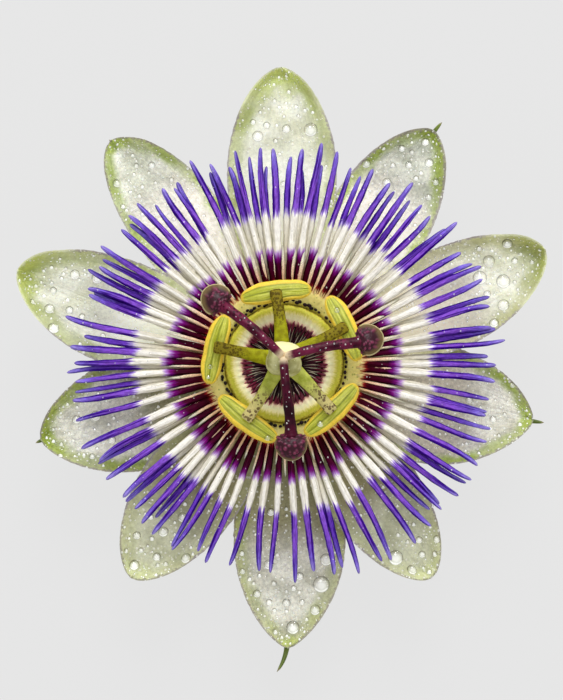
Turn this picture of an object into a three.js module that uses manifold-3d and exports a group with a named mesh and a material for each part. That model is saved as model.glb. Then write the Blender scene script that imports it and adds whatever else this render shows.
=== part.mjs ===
// A blue passion flower, picked with a short piece of its stalk, lying face up on its three bracts.
// Millimetres, +Z up. The surface it lies on is z = 0, and the flower's own axis is vertical. The
// origin is under the middle of the flower's outline, a little to one side of that axis.
// From the outside in it has five sepals, five petals, two rows of long corona filaments, a ring of
// short dark-headed ones, the pleated operculum with its fringe, and the column. The column carries
// five stamens and the ovary, and the ovary carries three styles with their stigmas.

import * as THREE from "three";
import { mergeVertices } from "three/addons/utils/BufferGeometryUtils.js";
import Module from "manifold-3d";

const wasm = await Module();
wasm.setup();

const DEG = Math.PI / 180;
const TURN = 2 * Math.PI;

// Driving dimensions
const GAP = 0.3; // left between pieces that touch on the real flower
const BLADE = 0.7; // thickness of sepals, petals and bracts

const CUP = { foot: 5.8, rim: 13.0, outer: 12.0, shelf: 10.1, inner: 9.0, floor: 8.2 };
const STALK = { foot: 0.4, head: CUP.foot - GAP, radius: 1.2 };

// Sepals and petals share one outline. It narrows over `shoulder` mm to the tip, more pointed with a
// higher `point`, and slowly towards the foot.
const TEPAL = { foot: 12.3, shoulder: 18, footNarrowing: 0.42, blunt: 0.12 };
const SEPAL_HEIGHT = 10.65;
const PETAL_HEIGHT = 12.05;
const KEEL = 0.55; // how far a sepal's keel stands out of its back
const AWN = { radius: 0.42, inside: 3.6 };

// Each has its angle in degrees, the reach of its tip from the axis, half of its width, the sideways
// bend of its middle, the lift of its tip, the rise of both edges and the roll of one edge over the
// other. A positive bend or roll goes to the left, seen from the axis.
const PETALS = [
  { angle: 90.6, reach: 49.9, half: 9.2, point: 0.78, bend: 0.0, lift: 1.2, rise: 1.3, roll: 0.1 },
  { angle: 160.9, reach: 47.0, half: 8.9, point: 0.62, bend: 0.8, lift: 1.6, rise: 1.4, roll: -0.7 },
  { angle: 234.9, reach: 43.9, half: 8.6, point: 0.62, bend: -0.4, lift: -0.6, rise: 0.9, roll: 0.2 },
  { angle: 303.9, reach: 43.6, half: 7.9, point: 0.6, bend: 0.0, lift: -0.8, rise: 0.9, roll: 0.3 },
  { angle: 23.2, reach: 47.4, half: 8.6, point: 0.62, bend: -0.7, lift: 1.9, rise: 1.3, roll: 0.7 },
];
// The green awn shows `awn` mm past a sepal's tip, and hook bends it sideways.
const SEPALS = [
  { angle: 57.4, reach: 46.8, half: 8.6, point: 0.65, bend: -0.3, lift: 1.4, rise: 1.6, roll: 0.1,
    awn: 1.4, hook: -0.4 },
  { angle: 127.7, reach: 47.2, half: 8.2, point: 0.6, bend: -0.6, lift: 2.0, rise: 1.8, roll: -0.1,
    awn: 0.3, hook: 0.2 },
  { angle: 197.2, reach: 42.5, half: 9.8, point: 0.68, bend: 0.4, lift: 0.9, rise: 1.6, roll: 0.3,
    awn: 0.9, hook: 0.3 },
  { angle: 270.8, reach: 47.2, half: 9.6, point: 0.74, bend: 0.5, lift: -0.3, rise: 1.1, roll: 0.0,
    awn: 3.8, hook: -1.9 },
  { angle: 347.1, reach: 42.6, half: 10.2, point: 0.7, bend: -0.8, lift: 1.0, rise: 1.6, roll: -0.3,
    awn: 1.8, hook: 0.2 },
];

// Long corona filaments: `root` is where they leave the ring, `near` and `far` bound their reach.
const CORONA_INNER = {
  count: 66, seed: 11, root: 12.0, near: 34.2, far: 37.2, half: 0.84, height: 14.6, arch: 2.2, lean: 1.5,
  ring: { inner: 11.2, outer: 12.9, low: 14.0, high: 15.1 },
};
const CORONA_OUTER = {
  count: 38, seed: 23, root: 12.6, near: 30.5, far: 36.0, half: 0.62, height: 13.3, arch: 1.6, lean: 2.0,
  ring: { inner: 12.0, outer: 13.6, low: 12.9, high: 13.7 },
};
const FILAMENT = { sides: 4, steps: 4, rootShare: 0.42, fullBy: 0.4, taper: 4, tip: 0.12, flat: 0.7 };

const PALI = { count: 58, radius: 10.5, head: 0.42, foot: 13.3, ringTop: 14.15, ringHalf: 0.25, seed: 5 };
const OPERCULUM = { outer: 9.8, crest: 9.3, crestHeight: 14.4, edge: 6.9, edgeHeight: 13.2, pleats: 36 };
const FRINGE = { count: 36, tip: 3.3, tipHeight: 11.4, half: 0.34, tipHalf: 0.2 };

const COLUMN = { foot: CUP.floor + GAP, head: 21.8, waist: 1.5, footRadius: 2.4, headRadius: 2.1 };
// Each stamen has its angle, and the turn of its anther on the end of its stalk, in degrees.
const STAMENS = [
  { angle: 28.8, turn: -4 },
  { angle: 96.8, turn: 1 },
  { angle: 170.6, turn: -1 },
  { angle: 239.5, turn: -6 },
  { angle: 313.9, turn: 0 },
];
const STAMEN = {
  root: COLUMN.headRadius + GAP + 0.1, tip: 11.7, half: 1.4, tipHalf: 0.9,
  thick: 0.6, height: 21.2, droop: 0.3,
};
const ANTHER = { radius: 11.4, length: 11.4, width: 3.4, depth: 2.1, height: 19.2, bend: 0.4 };
const OVARY = { foot: COLUMN.head + GAP, head: 27.2, radius: 2.4 };
const STYLES = [140, 274.5, 11.3];
const STYLE = { root: 1.05, tip: 12.0, radius: 0.66, swell: 0.85, foot: 28.2, crown: 29.4, tipHeight: 28.2 };
const STIGMA = { radius: 14.4, length: 4.2, width: 5.2, depth: 3.0, height: 28.0, wrap: 0.6 };

const BRACT = {
  angles: [30, 150, 270], foot: STALK.radius + GAP, reach: 21.5, footHalf: 1.3, half: 6.0, root: 4.2,
  touch: 14.0, patch: 2.5, lift: 0.9, rise: 2.4,
};

// A repeatable run of numbers between 0 and 1.
function draws(seed) {
  let state = seed;
  return () => {
    state = (Math.imul(state, 1664525) + 1013904223) >>> 0;
    return state / 2 ** 32;
  };
}

function smooth(from, to, value) {
  const t = Math.min(1, Math.max(0, (value - from) / (to - from)));
  return t * t * (3 - 2 * t);
}

// A point `out` from the axis in the direction `angle` (radians), `side` to its left, at height `up`.
function polar(angle, out, side, up) {
  const c = Math.cos(angle);
  const s = Math.sin(angle);
  return [out * c - side * s, out * s + side * c, up];
}

// Moves every vertex of a geometry: place(x, y, z) gives its new [x, y, z].
function warp(geometry, place) {
  const position = geometry.getAttribute("position");
  for (let i = 0; i < position.count; i++) {
    position.setXYZ(i, ...place(position.getX(i), position.getY(i), position.getZ(i)));
  }
  return geometry;
}

// A round bar along a path. centre(t) gives [out, side, up] and halves(t) gives [across, high], with t
// from 0 to 1, and the bar runs outwards in the direction `angle`.
function bar(angle, sides, steps, centre, halves) {
  return warp(new THREE.CylinderGeometry(1, 1, 1, sides, steps), (x, y, z) => {
    const t = y + 0.5;
    const [out, side, up] = centre(t);
    const [across, high] = halves(t);
    return polar(angle, out, side - x * across, up + z * high);
  });
}

// A closed sheet. place(u, v) gives [x, y, top, bottom], with u along the sheet and v across it, both
// from 0 to 1. Both faces are split into triangles alike.
function sheet(along, across, place) {
  const row = across + 1;
  const face = (along + 1) * row;
  const vertices = new Float32Array(face * 2 * 3);
  for (let i = 0; i <= along; i++) {
    for (let j = 0; j <= across; j++) {
      const [x, y, top, bottom] = place(i / along, j / across);
      const k = i * row + j;
      vertices.set([x, y, top], k * 3);
      vertices.set([x, y, bottom], (face + k) * 3);
    }
  }
  const index = [];
  const quad = (a, b, c, d) => index.push(a, b, c, a, c, d);
  for (let i = 0; i < along; i++) {
    for (let j = 0; j < across; j++) {
      const k = i * row + j;
      quad(k, k + row, k + row + 1, k + 1);
      index.push(face + k, face + k + row + 1, face + k + row);
      index.push(face + k, face + k + 1, face + k + row + 1);
    }
  }
  for (let i = 0; i < along; i++) {
    const right = i * row;
    const left = right + across;
    quad(face + right, face + right + row, right + row, right);
    quad(left, left + row, face + left + row, face + left);
  }
  for (let j = 0; j < across; j++) {
    const end = along * row + j;
    quad(j, j + 1, face + j + 1, face + j);
    quad(face + end, face + end + 1, end + 1, end);
  }
  const geometry = new THREE.BufferGeometry();
  geometry.setAttribute("position", new THREE.BufferAttribute(vertices, 3));
  geometry.setIndex(index);
  return geometry;
}

// A body turned about the flower's axis. The profile is a closed loop of [radius, height], or one that
// starts and ends on the axis, and runs counter-clockwise with the radius to the right.
function turned(profile, sides) {
  const points = profile.map(([radius, height]) => new THREE.Vector2(radius, height));
  const geometry = new THREE.LatheGeometry(points, sides);
  geometry.rotateX(Math.PI / 2);
  return geometry;
}

function ring(profile, sides) {
  return turned([...profile, profile[0]], sides);
}

function solid(geometry) {
  const bare = geometry.clone();
  bare.deleteAttribute("normal");
  bare.deleteAttribute("uv");
  const merged = mergeVertices(bare, 1e-3);
  const mesh = new wasm.Mesh({
    numProp: 3,
    vertProperties: merged.getAttribute("position").array,
    triVerts: new Uint32Array(merged.index.array),
  });
  return new wasm.Manifold(mesh);
}

// Joins overlapping geometries into one closed body.
function fused(geometries) {
  let bodies = geometries.map(solid);
  while (bodies.length > 1) {
    const next = [];
    for (let i = 0; i < bodies.length; i += 2) {
      next.push(i + 1 < bodies.length ? bodies[i].add(bodies[i + 1]) : bodies[i]);
    }
    bodies = next;
  }
  const { vertProperties, triVerts } = bodies[0].getMesh();
  const geometry = new THREE.BufferGeometry();
  geometry.setAttribute("position", new THREE.BufferAttribute(vertProperties, 3));
  geometry.setIndex(new THREE.BufferAttribute(triVerts, 1));
  return geometry;
}

const finish = (color, roughness) => new THREE.MeshStandardMaterial({ color, roughness, metalness: 0 });
const SEPAL_GREEN = finish(0xc9d2ae, 0.55);
const PETAL_WHITE = finish(0xdfe2cf, 0.55);
const CORONA_VIOLET = finish(0x5a2ea6, 0.6);
const CORONA_PALE = finish(0x8a6fc4, 0.6);
const DARK_HEADS = finish(0x1c0714, 0.5);
const OPERCULUM_LIME = finish(0xc3c24a, 0.5);
const CALYX_GREEN = finish(0x93a857, 0.6);
const STAMEN_GREEN = finish(0xa3ad45, 0.5);
const ANTHER_YELLOW = finish(0xbcc24a, 0.6);
const OVARY_PALE = finish(0xc4cb9a, 0.5);
const STYLE_PURPLE = finish(0x5c1f4a, 0.4);
const BRACT_GREEN = finish(0x7f9b4a, 0.6);

const flower = new THREE.Group();

function add(name, geometry, material) {
  const mesh = new THREE.Mesh(geometry, material);
  mesh.name = name;
  flower.add(mesh);
}

// Sepals and petals

function tepalHalf({ reach, half, point }, radius) {
  const fromTip = reach - radius;
  if (fromTip < TEPAL.shoulder) {
    return half * (1 - (1 - fromTip / TEPAL.shoulder) ** 2) ** point;
  }
  const inward = (fromTip - TEPAL.shoulder) / (reach - TEPAL.shoulder - TEPAL.foot);
  return half * (1 - TEPAL.footNarrowing * inward * inward);
}

// Height of the middle of the blade, `across` running from -1 at its right edge to 1 at its left.
function tepalHeight({ reach, lift, rise, roll }, height, radius, across) {
  const out = (radius - TEPAL.foot) / (reach - TEPAL.foot);
  const bow = 0.5 * Math.sin(Math.PI * out);
  const open = smooth(0.45, 0.95, out);
  return height + bow + lift * out ** 3 + open * (rise * across * across + roll * across);
}

function tepal(shape, height, keel) {
  const last = shape.reach - TEPAL.blunt;
  return sheet(10, 4, (u, v) => {
    const radius = TEPAL.foot + (last - TEPAL.foot) * (1 - (1 - u) ** 1.6);
    const across = 2 * v - 1;
    const bend = shape.bend * Math.sin((Math.PI * (radius - TEPAL.foot)) / (shape.reach - TEPAL.foot));
    const side = across * tepalHalf(shape, radius) + bend;
    const middle = tepalHeight(shape, height, radius, across);
    const ridge = across === 0 ? keel * smooth(0, 0.3, u) : 0;
    const [x, y] = polar(shape.angle * DEG, radius, side, 0);
    return [x, y, middle + BLADE / 2, middle - BLADE / 2 - ridge];
  });
}

// The awn grows out of the keel, a little short of the sepal's tip.
function awn(shape) {
  const start = shape.reach - AWN.inside;
  const end = shape.reach + shape.awn;
  const rootHeight = tepalHeight(shape, SEPAL_HEIGHT, start, 0) - 0.55;
  const tipHeight = tepalHeight(shape, SEPAL_HEIGHT, shape.reach, 0) - 0.5;
  return bar(
    shape.angle * DEG,
    5,
    4,
    (t) => [
      start + (end - start) * t,
      shape.hook * t ** 3,
      rootHeight + (tipHeight - rootHeight) * t - 0.5 * Math.sin(Math.PI * t),
    ],
    (t) => Array(2).fill(AWN.radius * (1 - 0.65 * t)),
  );
}

PETALS.forEach((shape, i) => {
  add("petal_" + (i + 1), tepal(shape, PETAL_HEIGHT, 0), PETAL_WHITE);
});
SEPALS.forEach((shape, i) => {
  add("sepal_" + (i + 1), fused([tepal(shape, SEPAL_HEIGHT, KEEL), awn(shape)]), SEPAL_GREEN);
});

// The corona's long filaments

// Where a filament's rings of points lie: closer together towards its tip.
function nearerTip(s) {
  return 1 - (1 - s) ** 1.5;
}

function filamentShare(t) {
  const root = FILAMENT.rootShare + (1 - FILAMENT.rootShare) * smooth(0, FILAMENT.fullBy, t);
  return root * Math.pow(1 - t ** FILAMENT.taper, 0.7);
}

function coronaRow(row) {
  const { inner, outer, low, high } = row.ring;
  const middle = (low + high) / 2;
  const pieces = [
    ring([[inner, low], [outer - 0.3, low], [outer, middle], [outer - 0.6, high], [inner, high]], 48),
  ];
  const draw = draws(row.seed);
  for (let i = 0; i < row.count; i++) {
    const angle = ((i + 0.45 * (draw() - 0.5)) / row.count) * TURN;
    const reach = row.near + (row.far - row.near) * draw();
    const lean = row.lean * (draw() - 0.5);
    const climb = row.arch * (0.9 + 0.2 * draw());
    pieces.push(
      bar(
        angle,
        FILAMENT.sides,
        FILAMENT.steps,
        (s) => {
          const t = nearerTip(s);
          return [row.root + (reach - row.root) * t, lean * t * t, row.height + climb * Math.sin(2 * t)];
        },
        (s) => {
          const half = row.half * filamentShare(nearerTip(s)) + FILAMENT.tip;
          return [half, half * FILAMENT.flat];
        },
      ),
    );
  }
  return fused(pieces);
}

add("corona_outer", coronaRow(CORONA_OUTER), CORONA_PALE);
add("corona_inner", coronaRow(CORONA_INNER), CORONA_VIOLET);

// The ring of short filaments, each with a dark head

function shortFilaments() {
  const { count, radius, head, foot, ringTop, ringHalf } = PALI;
  const pieces = [
    ring(
      [
        [radius - ringHalf, foot],
        [radius + ringHalf, foot],
        [radius + ringHalf, ringTop],
        [radius - ringHalf, ringTop],
      ],
      48,
    ),
  ];
  const draw = draws(PALI.seed);
  for (let i = 0; i < count; i++) {
    const angle = ((i + 0.5 * (draw() - 0.5)) / count) * TURN;
    const size = head * (0.75 + 0.25 * draw());
    const out = radius + 0.12 * (draw() - 0.5);
    const [x, y, z] = polar(angle, out, 0, ringTop + 0.25);
    pieces.push(new THREE.OctahedronGeometry(size).scale(1, 1, 1.4).rotateZ(angle).translate(x, y, z));
  }
  return fused(pieces);
}

add("short_filaments", shortFilaments(), DARK_HEADS);

// The operculum: a rounded yellow-green ring, pleated on its inner slope, whose edge is a fringe that
// points in and down towards the column

function operculum() {
  const { outer, crest, crestHeight, edge, edgeHeight, pleats } = OPERCULUM;
  const body = ring(
    [
      [edge, edgeHeight - 0.35],
      [edge + 1.3, crestHeight - 1.55],
      [outer, crestHeight - 1.3],
      [outer, crestHeight - 0.5],
      [crest, crestHeight],
      [crest - 0.8, crestHeight - 0.15],
      [edge, edgeHeight + 0.35],
    ],
    pleats * 2,
  );
  const slope = crest - 0.5;
  warp(body, (x, y, z) => {
    const radius = Math.hypot(x, y);
    const pleat = radius < slope ? 0.14 * Math.cos(Math.atan2(y, x) * pleats) : 0;
    return [x, y, z + pleat];
  });
  const pieces = [body];
  for (let i = 0; i < FRINGE.count; i++) {
    pieces.push(
      bar(
        (i / FRINGE.count) * TURN,
        3,
        2,
        (t) => [
          FRINGE.tip + (edge + 0.6 - FRINGE.tip) * t,
          0,
          FRINGE.tipHeight + (edgeHeight - FRINGE.tipHeight) * Math.sqrt(t),
        ],
        (t) => Array(2).fill(FRINGE.tipHalf + (FRINGE.half - FRINGE.tipHalf) * t),
      ),
    );
  }
  return fused(pieces);
}

add("operculum", operculum(), OPERCULUM_LIME);

// The floral cup, which holds the nectar, with a low ring round the foot of the column

function floralCup() {
  const { foot, rim, outer, shelf, inner, floor } = CUP;
  return turned(
    [
      [0, foot],
      [2.6, foot],
      [6.6, foot + 0.7],
      [9.8, foot + 2.2],
      [11.6, foot + 4.2],
      [outer - 0.1, rim - 1.6],
      [outer, rim - 0.4],
      [outer - 0.4, rim],
      [shelf, rim],
      [shelf, rim - 1.0],
      [inner, rim - 1.6],
      [inner - 0.3, floor + 2.0],
      [7.2, floor + 0.5],
      [5.6, floor],
      [3.9, floor],
      [3.4, floor + 0.9],
      [3.0, floor + 0.9],
      [2.7, floor],
      [0, floor],
    ],
    30,
  );
}

add("floral_cup", floralCup(), CALYX_GREEN);

// The column, the stamens on its head, and the ovary above them

function column() {
  const { foot, head, waist, footRadius, headRadius } = COLUMN;
  return turned(
    [
      [0, foot],
      [footRadius, foot],
      [footRadius - 0.2, foot + 0.8],
      [waist, foot + 2.4],
      [waist, head - 2.6],
      [headRadius, head - 0.8],
      [headRadius, head],
      [0, head],
    ],
    16,
  );
}

function ovary() {
  const { foot, head, radius } = OVARY;
  return turned(
    [
      [0, foot],
      [radius - 0.6, foot],
      [radius, foot + 1.5],
      [radius, foot + 2.8],
      [radius - 0.5, head - 0.8],
      [radius - 1.2, head],
      [0, head],
    ],
    14,
  );
}

// The flat stalk of a stamen, from the column's head to the back of its anther.
function stamenStalk(angle) {
  const { root, tip, half, tipHalf, thick, height, droop } = STAMEN;
  return bar(
    angle,
    8,
    3,
    (t) => [root + (tip - root) * t, 0, height - droop * t * t],
    (t) => [half + (tipHalf - half) * t, thick / 2],
  );
}

// An anther lies across the end of its stalk like an upturned boat, with both ends bent inwards.
function anther(angle, turn) {
  const { radius, length, width, depth, height, bend } = ANTHER;
  const [x, y] = polar(angle, radius, 0, 0);
  const boat = bar(
    angle + turn + Math.PI / 2,
    7,
    6,
    (t) => [(t - 0.5) * length, bend * (2 * t - 1) ** 2, height],
    (t) => {
      const share = Math.sqrt(1 - Math.abs(1.9 * t - 0.95) ** 3);
      return [(width / 2) * share, (depth / 2) * share];
    },
  );
  return boat.translate(x, y, 0);
}

add("column", column(), OVARY_PALE);
add("ovary", ovary(), OVARY_PALE);
STAMENS.forEach(({ angle, turn }, i) => {
  add("stamen_stalk_" + (i + 1), stamenStalk(angle * DEG), STAMEN_GREEN);
  add("anther_" + (i + 1), anther(angle * DEG, turn * DEG), ANTHER_YELLOW);
});

// The styles rise from the ovary's top and arch outwards, each to a kidney-shaped stigma.

function style(angle) {
  const { root, tip, radius, swell, foot, crown, tipHeight } = STYLE;
  return bar(
    angle,
    6,
    6,
    (t) => [
      root + (tip - root) * t,
      0,
      foot + (tipHeight - foot) * t + (crown - foot) * Math.sin(Math.PI * Math.sqrt(t)),
    ],
    (t) => Array(2).fill(radius + (swell - radius) * t),
  );
}

function stigma(angle) {
  const { radius, length, width, depth, height, wrap } = STIGMA;
  const ball = new THREE.SphereGeometry(1, 10, 7).rotateX(Math.PI / 2);
  return warp(ball, (x, y, z) => {
    const out = radius + (x * length) / 2 - wrap * y * y;
    return polar(angle, out, (y * width) / 2, height + (z * depth) / 2);
  });
}

STYLES.forEach((angle, i) => {
  add("style_" + (i + 1), style(angle * DEG), STYLE_PURPLE);
  add("stigma_" + (i + 1), stigma(angle * DEG), STYLE_PURPLE);
});

// The cut stalk, and three bracts that spread below the cup and carry the flower

function stalk() {
  const { foot, head, radius } = STALK;
  return turned([[0, foot], [radius, foot], [radius, head], [0, head]], 12);
}

// Each bract arches down to a small flat patch of its keel on the surface, and its tip turns up again.
function bract(angle) {
  const { foot, reach, footHalf, half, root, touch, patch, lift, rise } = BRACT;
  return sheet(8, 6, (u, v) => {
    const radius = foot + (reach - foot) * u;
    const across = 2 * v - 1;
    const width = footHalf * (1 - u) + half * Math.sin(3.1 * u ** 0.9) ** 0.8;
    const fall = root * (1 - smooth(0.1, 1, (radius - foot) / (touch - foot)));
    const tip = lift * smooth(touch + patch, reach, radius);
    const edge = rise * smooth(0, 0.5, u) * Math.max(0, Math.abs(across) - 0.34) ** 1.5;
    const [x, y] = polar(angle, radius, across * width, 0);
    const bottom = fall + tip + edge;
    return [x, y, bottom + BLADE, bottom];
  });
}

add("stalk", stalk(), BRACT_GREEN);
BRACT.angles.forEach((angle, i) => {
  add("bract_" + (i + 1), bract(angle * DEG), BRACT_GREEN);
});

const box = new THREE.Box3().setFromObject(flower);
flower.position.set(-(box.min.x + box.max.x) / 2, -(box.min.y + box.max.y) / 2, -box.min.z);

export default flower;
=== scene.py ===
"""Passion flower: the finished flower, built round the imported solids.

The flower lies face up on a pale floor: ten tepals, two rows of long corona filaments, a ring of
short dark heads, the operculum with its fringe, and the column with stamens, ovary and styles.
Lengths are in millimetres, angles in degrees, and MM turns a length into Blender's metres where
a mesh is written. A tint is a screen colour. The flower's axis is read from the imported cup.
"""
import logging
import math
from collections.abc import Callable, Iterator, Sequence
from contextlib import contextmanager
from dataclasses import dataclass, field, replace
from enum import Enum

import bmesh
import bpy
import numpy as np
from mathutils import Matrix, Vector, noise


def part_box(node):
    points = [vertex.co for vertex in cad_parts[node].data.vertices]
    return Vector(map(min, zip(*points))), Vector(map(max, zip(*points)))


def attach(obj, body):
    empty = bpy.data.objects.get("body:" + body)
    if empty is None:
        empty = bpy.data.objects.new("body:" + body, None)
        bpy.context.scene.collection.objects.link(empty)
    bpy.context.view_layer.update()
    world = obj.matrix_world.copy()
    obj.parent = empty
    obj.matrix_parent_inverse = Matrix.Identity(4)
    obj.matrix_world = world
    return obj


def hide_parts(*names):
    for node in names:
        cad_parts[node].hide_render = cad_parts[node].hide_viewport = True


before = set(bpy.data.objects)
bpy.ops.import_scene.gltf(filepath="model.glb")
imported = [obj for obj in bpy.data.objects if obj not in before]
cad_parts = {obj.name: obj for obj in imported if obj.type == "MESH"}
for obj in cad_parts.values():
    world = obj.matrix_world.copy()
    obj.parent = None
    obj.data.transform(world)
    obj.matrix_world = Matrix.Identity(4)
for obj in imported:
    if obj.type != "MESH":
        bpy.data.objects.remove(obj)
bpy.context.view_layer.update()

logging.basicConfig(level=logging.INFO, format="%(message)s")
log = logging.getLogger("passion_flower")

Tint = str
Stop = tuple[float, Tint]
Triple = tuple[float, float, float]
Piece = bpy.types.Object
Socket = bpy.types.NodeSocket
Path = Callable[[np.ndarray], np.ndarray]

MM = 0.001
TURN = 2 * math.pi
BODY = "root"
ROUND_CREASE = 80.0
FILAMENT_SLOTS = 66
BLACK = "#000000"

CUP_LOW, CUP_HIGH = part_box("floral_cup")
AXIS = np.array([(CUP_LOW.x + CUP_HIGH.x) / 2, (CUP_LOW.y + CUP_HIGH.y) / 2, 0.0]) / MM
UP = np.array([0.0, 0.0, 1.0])


def linear(tint: Tint) -> tuple[float, ...]:
    """Turns a screen colour into the linear colour that shaders use.

    Args:
        tint: The colour, as # and six hex digits.

    Returns:
        Red, green, blue and full cover.
    """
    shares = [int(tint[start:start + 2], 16) / 255 for start in (1, 3, 5)]
    return (*(
        share / 12.92 if share <= 0.04045 else ((share + 0.055) / 1.055) ** 2.4 for share in shares
    ), 1.0)


def ease(low: float, high: float, value: np.ndarray | float) -> np.ndarray:
    """Climbs smoothly from 0 at low to 1 at high; low may lie above high.

    Args:
        low: Value that gives 0.
        high: Value that gives 1.
        value: The values to ease.

    Returns:
        Shares from 0 to 1.
    """
    share = np.clip((np.asarray(value, float) - low) / (high - low), 0, 1)
    return share * share * (3 - 2 * share)


def wave(turns: np.ndarray) -> np.ndarray:
    """Swings between -1 and 1, once in each whole turn."""
    return np.sin(TURN * turns)


def hump(place: np.ndarray, width: float) -> np.ndarray:
    """Gives 1 at the place 0, and falls off to both sides within the width."""
    return np.exp(-((place / width) ** 2))


def heading(angle: float) -> tuple[float, float]:
    """Gives the cosine and the sine of an angle in degrees."""
    return math.cos(math.radians(angle)), math.sin(math.radians(angle))


def polar(angle: float, out: np.ndarray, side: np.ndarray, up: np.ndarray) -> np.ndarray:
    """Places points given outward, sideways and upward from the flower's axis.

    Args:
        angle: Direction from the axis, in degrees from +X towards +Y.
        out: Distances outward along the direction.
        side: Distances to the left of the direction.
        up: Heights over the floor.

    Returns:
        Points in the frame, in millimetres, with the coordinates last.
    """
    cosine, sine = heading(angle)
    out, side, up = np.broadcast_arrays(out, side, up)
    return np.stack([out * cosine - side * sine, out * sine + side * cosine, up], -1) + AXIS


@dataclass
class Draws:
    """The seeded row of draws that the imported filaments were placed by."""

    state: int

    def __call__(self) -> float:
        """Gives the next number from 0 to 1."""
        self.state = (self.state * 1664525 + 1013904223) % 2**32
        return self.state / 2**32


# Modelling bench: short calls round the modelling operators

def single_out(obj: Piece) -> None:
    """Selects one object alone and makes it the active one.

    Args:
        obj: The object.
    """
    bpy.ops.object.select_all(action="DESELECT")
    obj.select_set(True)
    bpy.context.view_layer.objects.active = obj


def add_primitive(name: str, operator: Callable, **settings: object) -> Piece:
    """Adds a primitive with nothing else selected.

    Args:
        name: Name of the new object and of its mesh.
        operator: The primitive's operator.
        **settings: The operator's own settings.

    Returns:
        The new object, placed by its mesh alone.
    """
    bpy.ops.object.select_all(action="DESELECT")
    operator(**settings)
    made = bpy.context.active_object
    bpy.ops.object.transform_apply(location=True, rotation=True, scale=True)
    made.name = made.data.name = name
    return made


@contextmanager
def editing(obj: Piece, mode: str = "VERT") -> Iterator[None]:
    """Opens an object in edit mode with nothing selected.

    Args:
        obj: The mesh object.
        mode: What is selected: VERT, EDGE or FACE.

    Yields:
        Nothing; the object is back in object mode afterwards.
    """
    single_out(obj)
    bpy.ops.object.mode_set(mode="EDIT")
    bpy.ops.mesh.select_mode(type=mode)
    bpy.ops.mesh.select_all(action="DESELECT")
    yield
    bpy.ops.object.mode_set(mode="OBJECT")


def pick_vertices(obj: Piece, wanted: Callable[[Vector], bool]) -> None:
    """Selects vertices of the mesh in edit mode.

    Args:
        obj: The mesh object.
        wanted: Tells from a vertex's place whether it is selected.
    """
    mesh = bmesh.from_edit_mesh(obj.data)
    for vertex in mesh.verts:
        vertex.select_set(wanted(vertex.co))
    mesh.select_flush_mode()
    bmesh.update_edit_mesh(obj.data)


def apply_modifier(obj: Piece, kind: str, **settings: object) -> None:
    """Adds a modifier to a piece and applies it.

    Args:
        obj: The piece.
        kind: The modifier's type.
        **settings: The modifier's own settings.
    """
    single_out(obj)
    modifier = obj.modifiers.new(kind.title(), kind)
    for key, value in settings.items():
        setattr(modifier, key, value)
    bpy.ops.object.modifier_apply(modifier=modifier.name)


def close_skin(obj: Piece) -> None:
    """Merges doubles and turns every face outwards.

    Args:
        obj: The piece.
    """
    with editing(obj):
        bpy.ops.mesh.select_all(action="SELECT")
        bpy.ops.mesh.remove_doubles(threshold=0.001 * MM)
        bpy.ops.mesh.normals_make_consistent(inside=False)


def read_points(obj: Piece) -> np.ndarray:
    """Reads a mesh's vertices as they stand, without a change of unit.

    Args:
        obj: The piece.

    Returns:
        One row of three for each vertex.
    """
    points = np.empty(len(obj.data.vertices) * 3)
    obj.data.vertices.foreach_get("co", points)
    return points.reshape(-1, 3)


def read_round(obj: Piece) -> tuple[np.ndarray, np.ndarray, np.ndarray]:
    """Reads a turned piece's vertices as they lie round the flower's axis.

    Args:
        obj: The piece.

    Returns:
        The points from the axis, in millimetres, their radii, and their angles in radians.
    """
    points = read_points(obj) / MM - AXIS
    return points, np.hypot(points[:, 0], points[:, 1]), np.arctan2(points[:, 1], points[:, 0])


def write_points(obj: Piece, points: np.ndarray) -> None:
    """Writes places in millimetres to a mesh's vertices."""
    obj.data.vertices.foreach_set("co", (points * MM).ravel())
    obj.data.update()


def note_values(obj: Piece, name: str, values: np.ndarray) -> None:
    """Keeps one number or one vector for each vertex as a named attribute.

    Args:
        obj: The piece.
        name: The attribute's name, which the finishes read.
        values: An array of numbers, or of rows of three.
    """
    vector = values.ndim == 2
    kind = "FLOAT_VECTOR" if vector else "FLOAT"
    layer = obj.data.attributes.get(name) or obj.data.attributes.new(name, kind, "POINT")
    layer.data.foreach_set("vector" if vector else "value", values.astype(np.float32).ravel())


def note_flow(
    obj: Piece, along: np.ndarray, across: np.ndarray | float = 0.0, chance: np.ndarray | float = 0.0,
) -> None:
    """Keeps where each vertex lies on its piece as the attribute flow.

    Args:
        obj: The piece.
        along: Places along the piece.
        across: Places across it.
        chance: Each copy's own number.
    """
    note_values(obj, "flow", np.stack(np.broadcast_arrays(along, across, chance), 1))


def note_height(obj: Piece) -> None:
    """Keeps the share of the piece's height as the place along it."""
    height = read_points(obj)[:, 2]
    note_flow(obj, (height - height.min()) / (height.max() - height.min()))


def smooth_faces(obj: Piece, crease: float = 60.0) -> None:
    """Shades a piece smoothly, apart from edges sharper than the crease angle."""
    single_out(obj)
    bpy.ops.object.shade_smooth_by_angle(angle=math.radians(crease))


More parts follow.
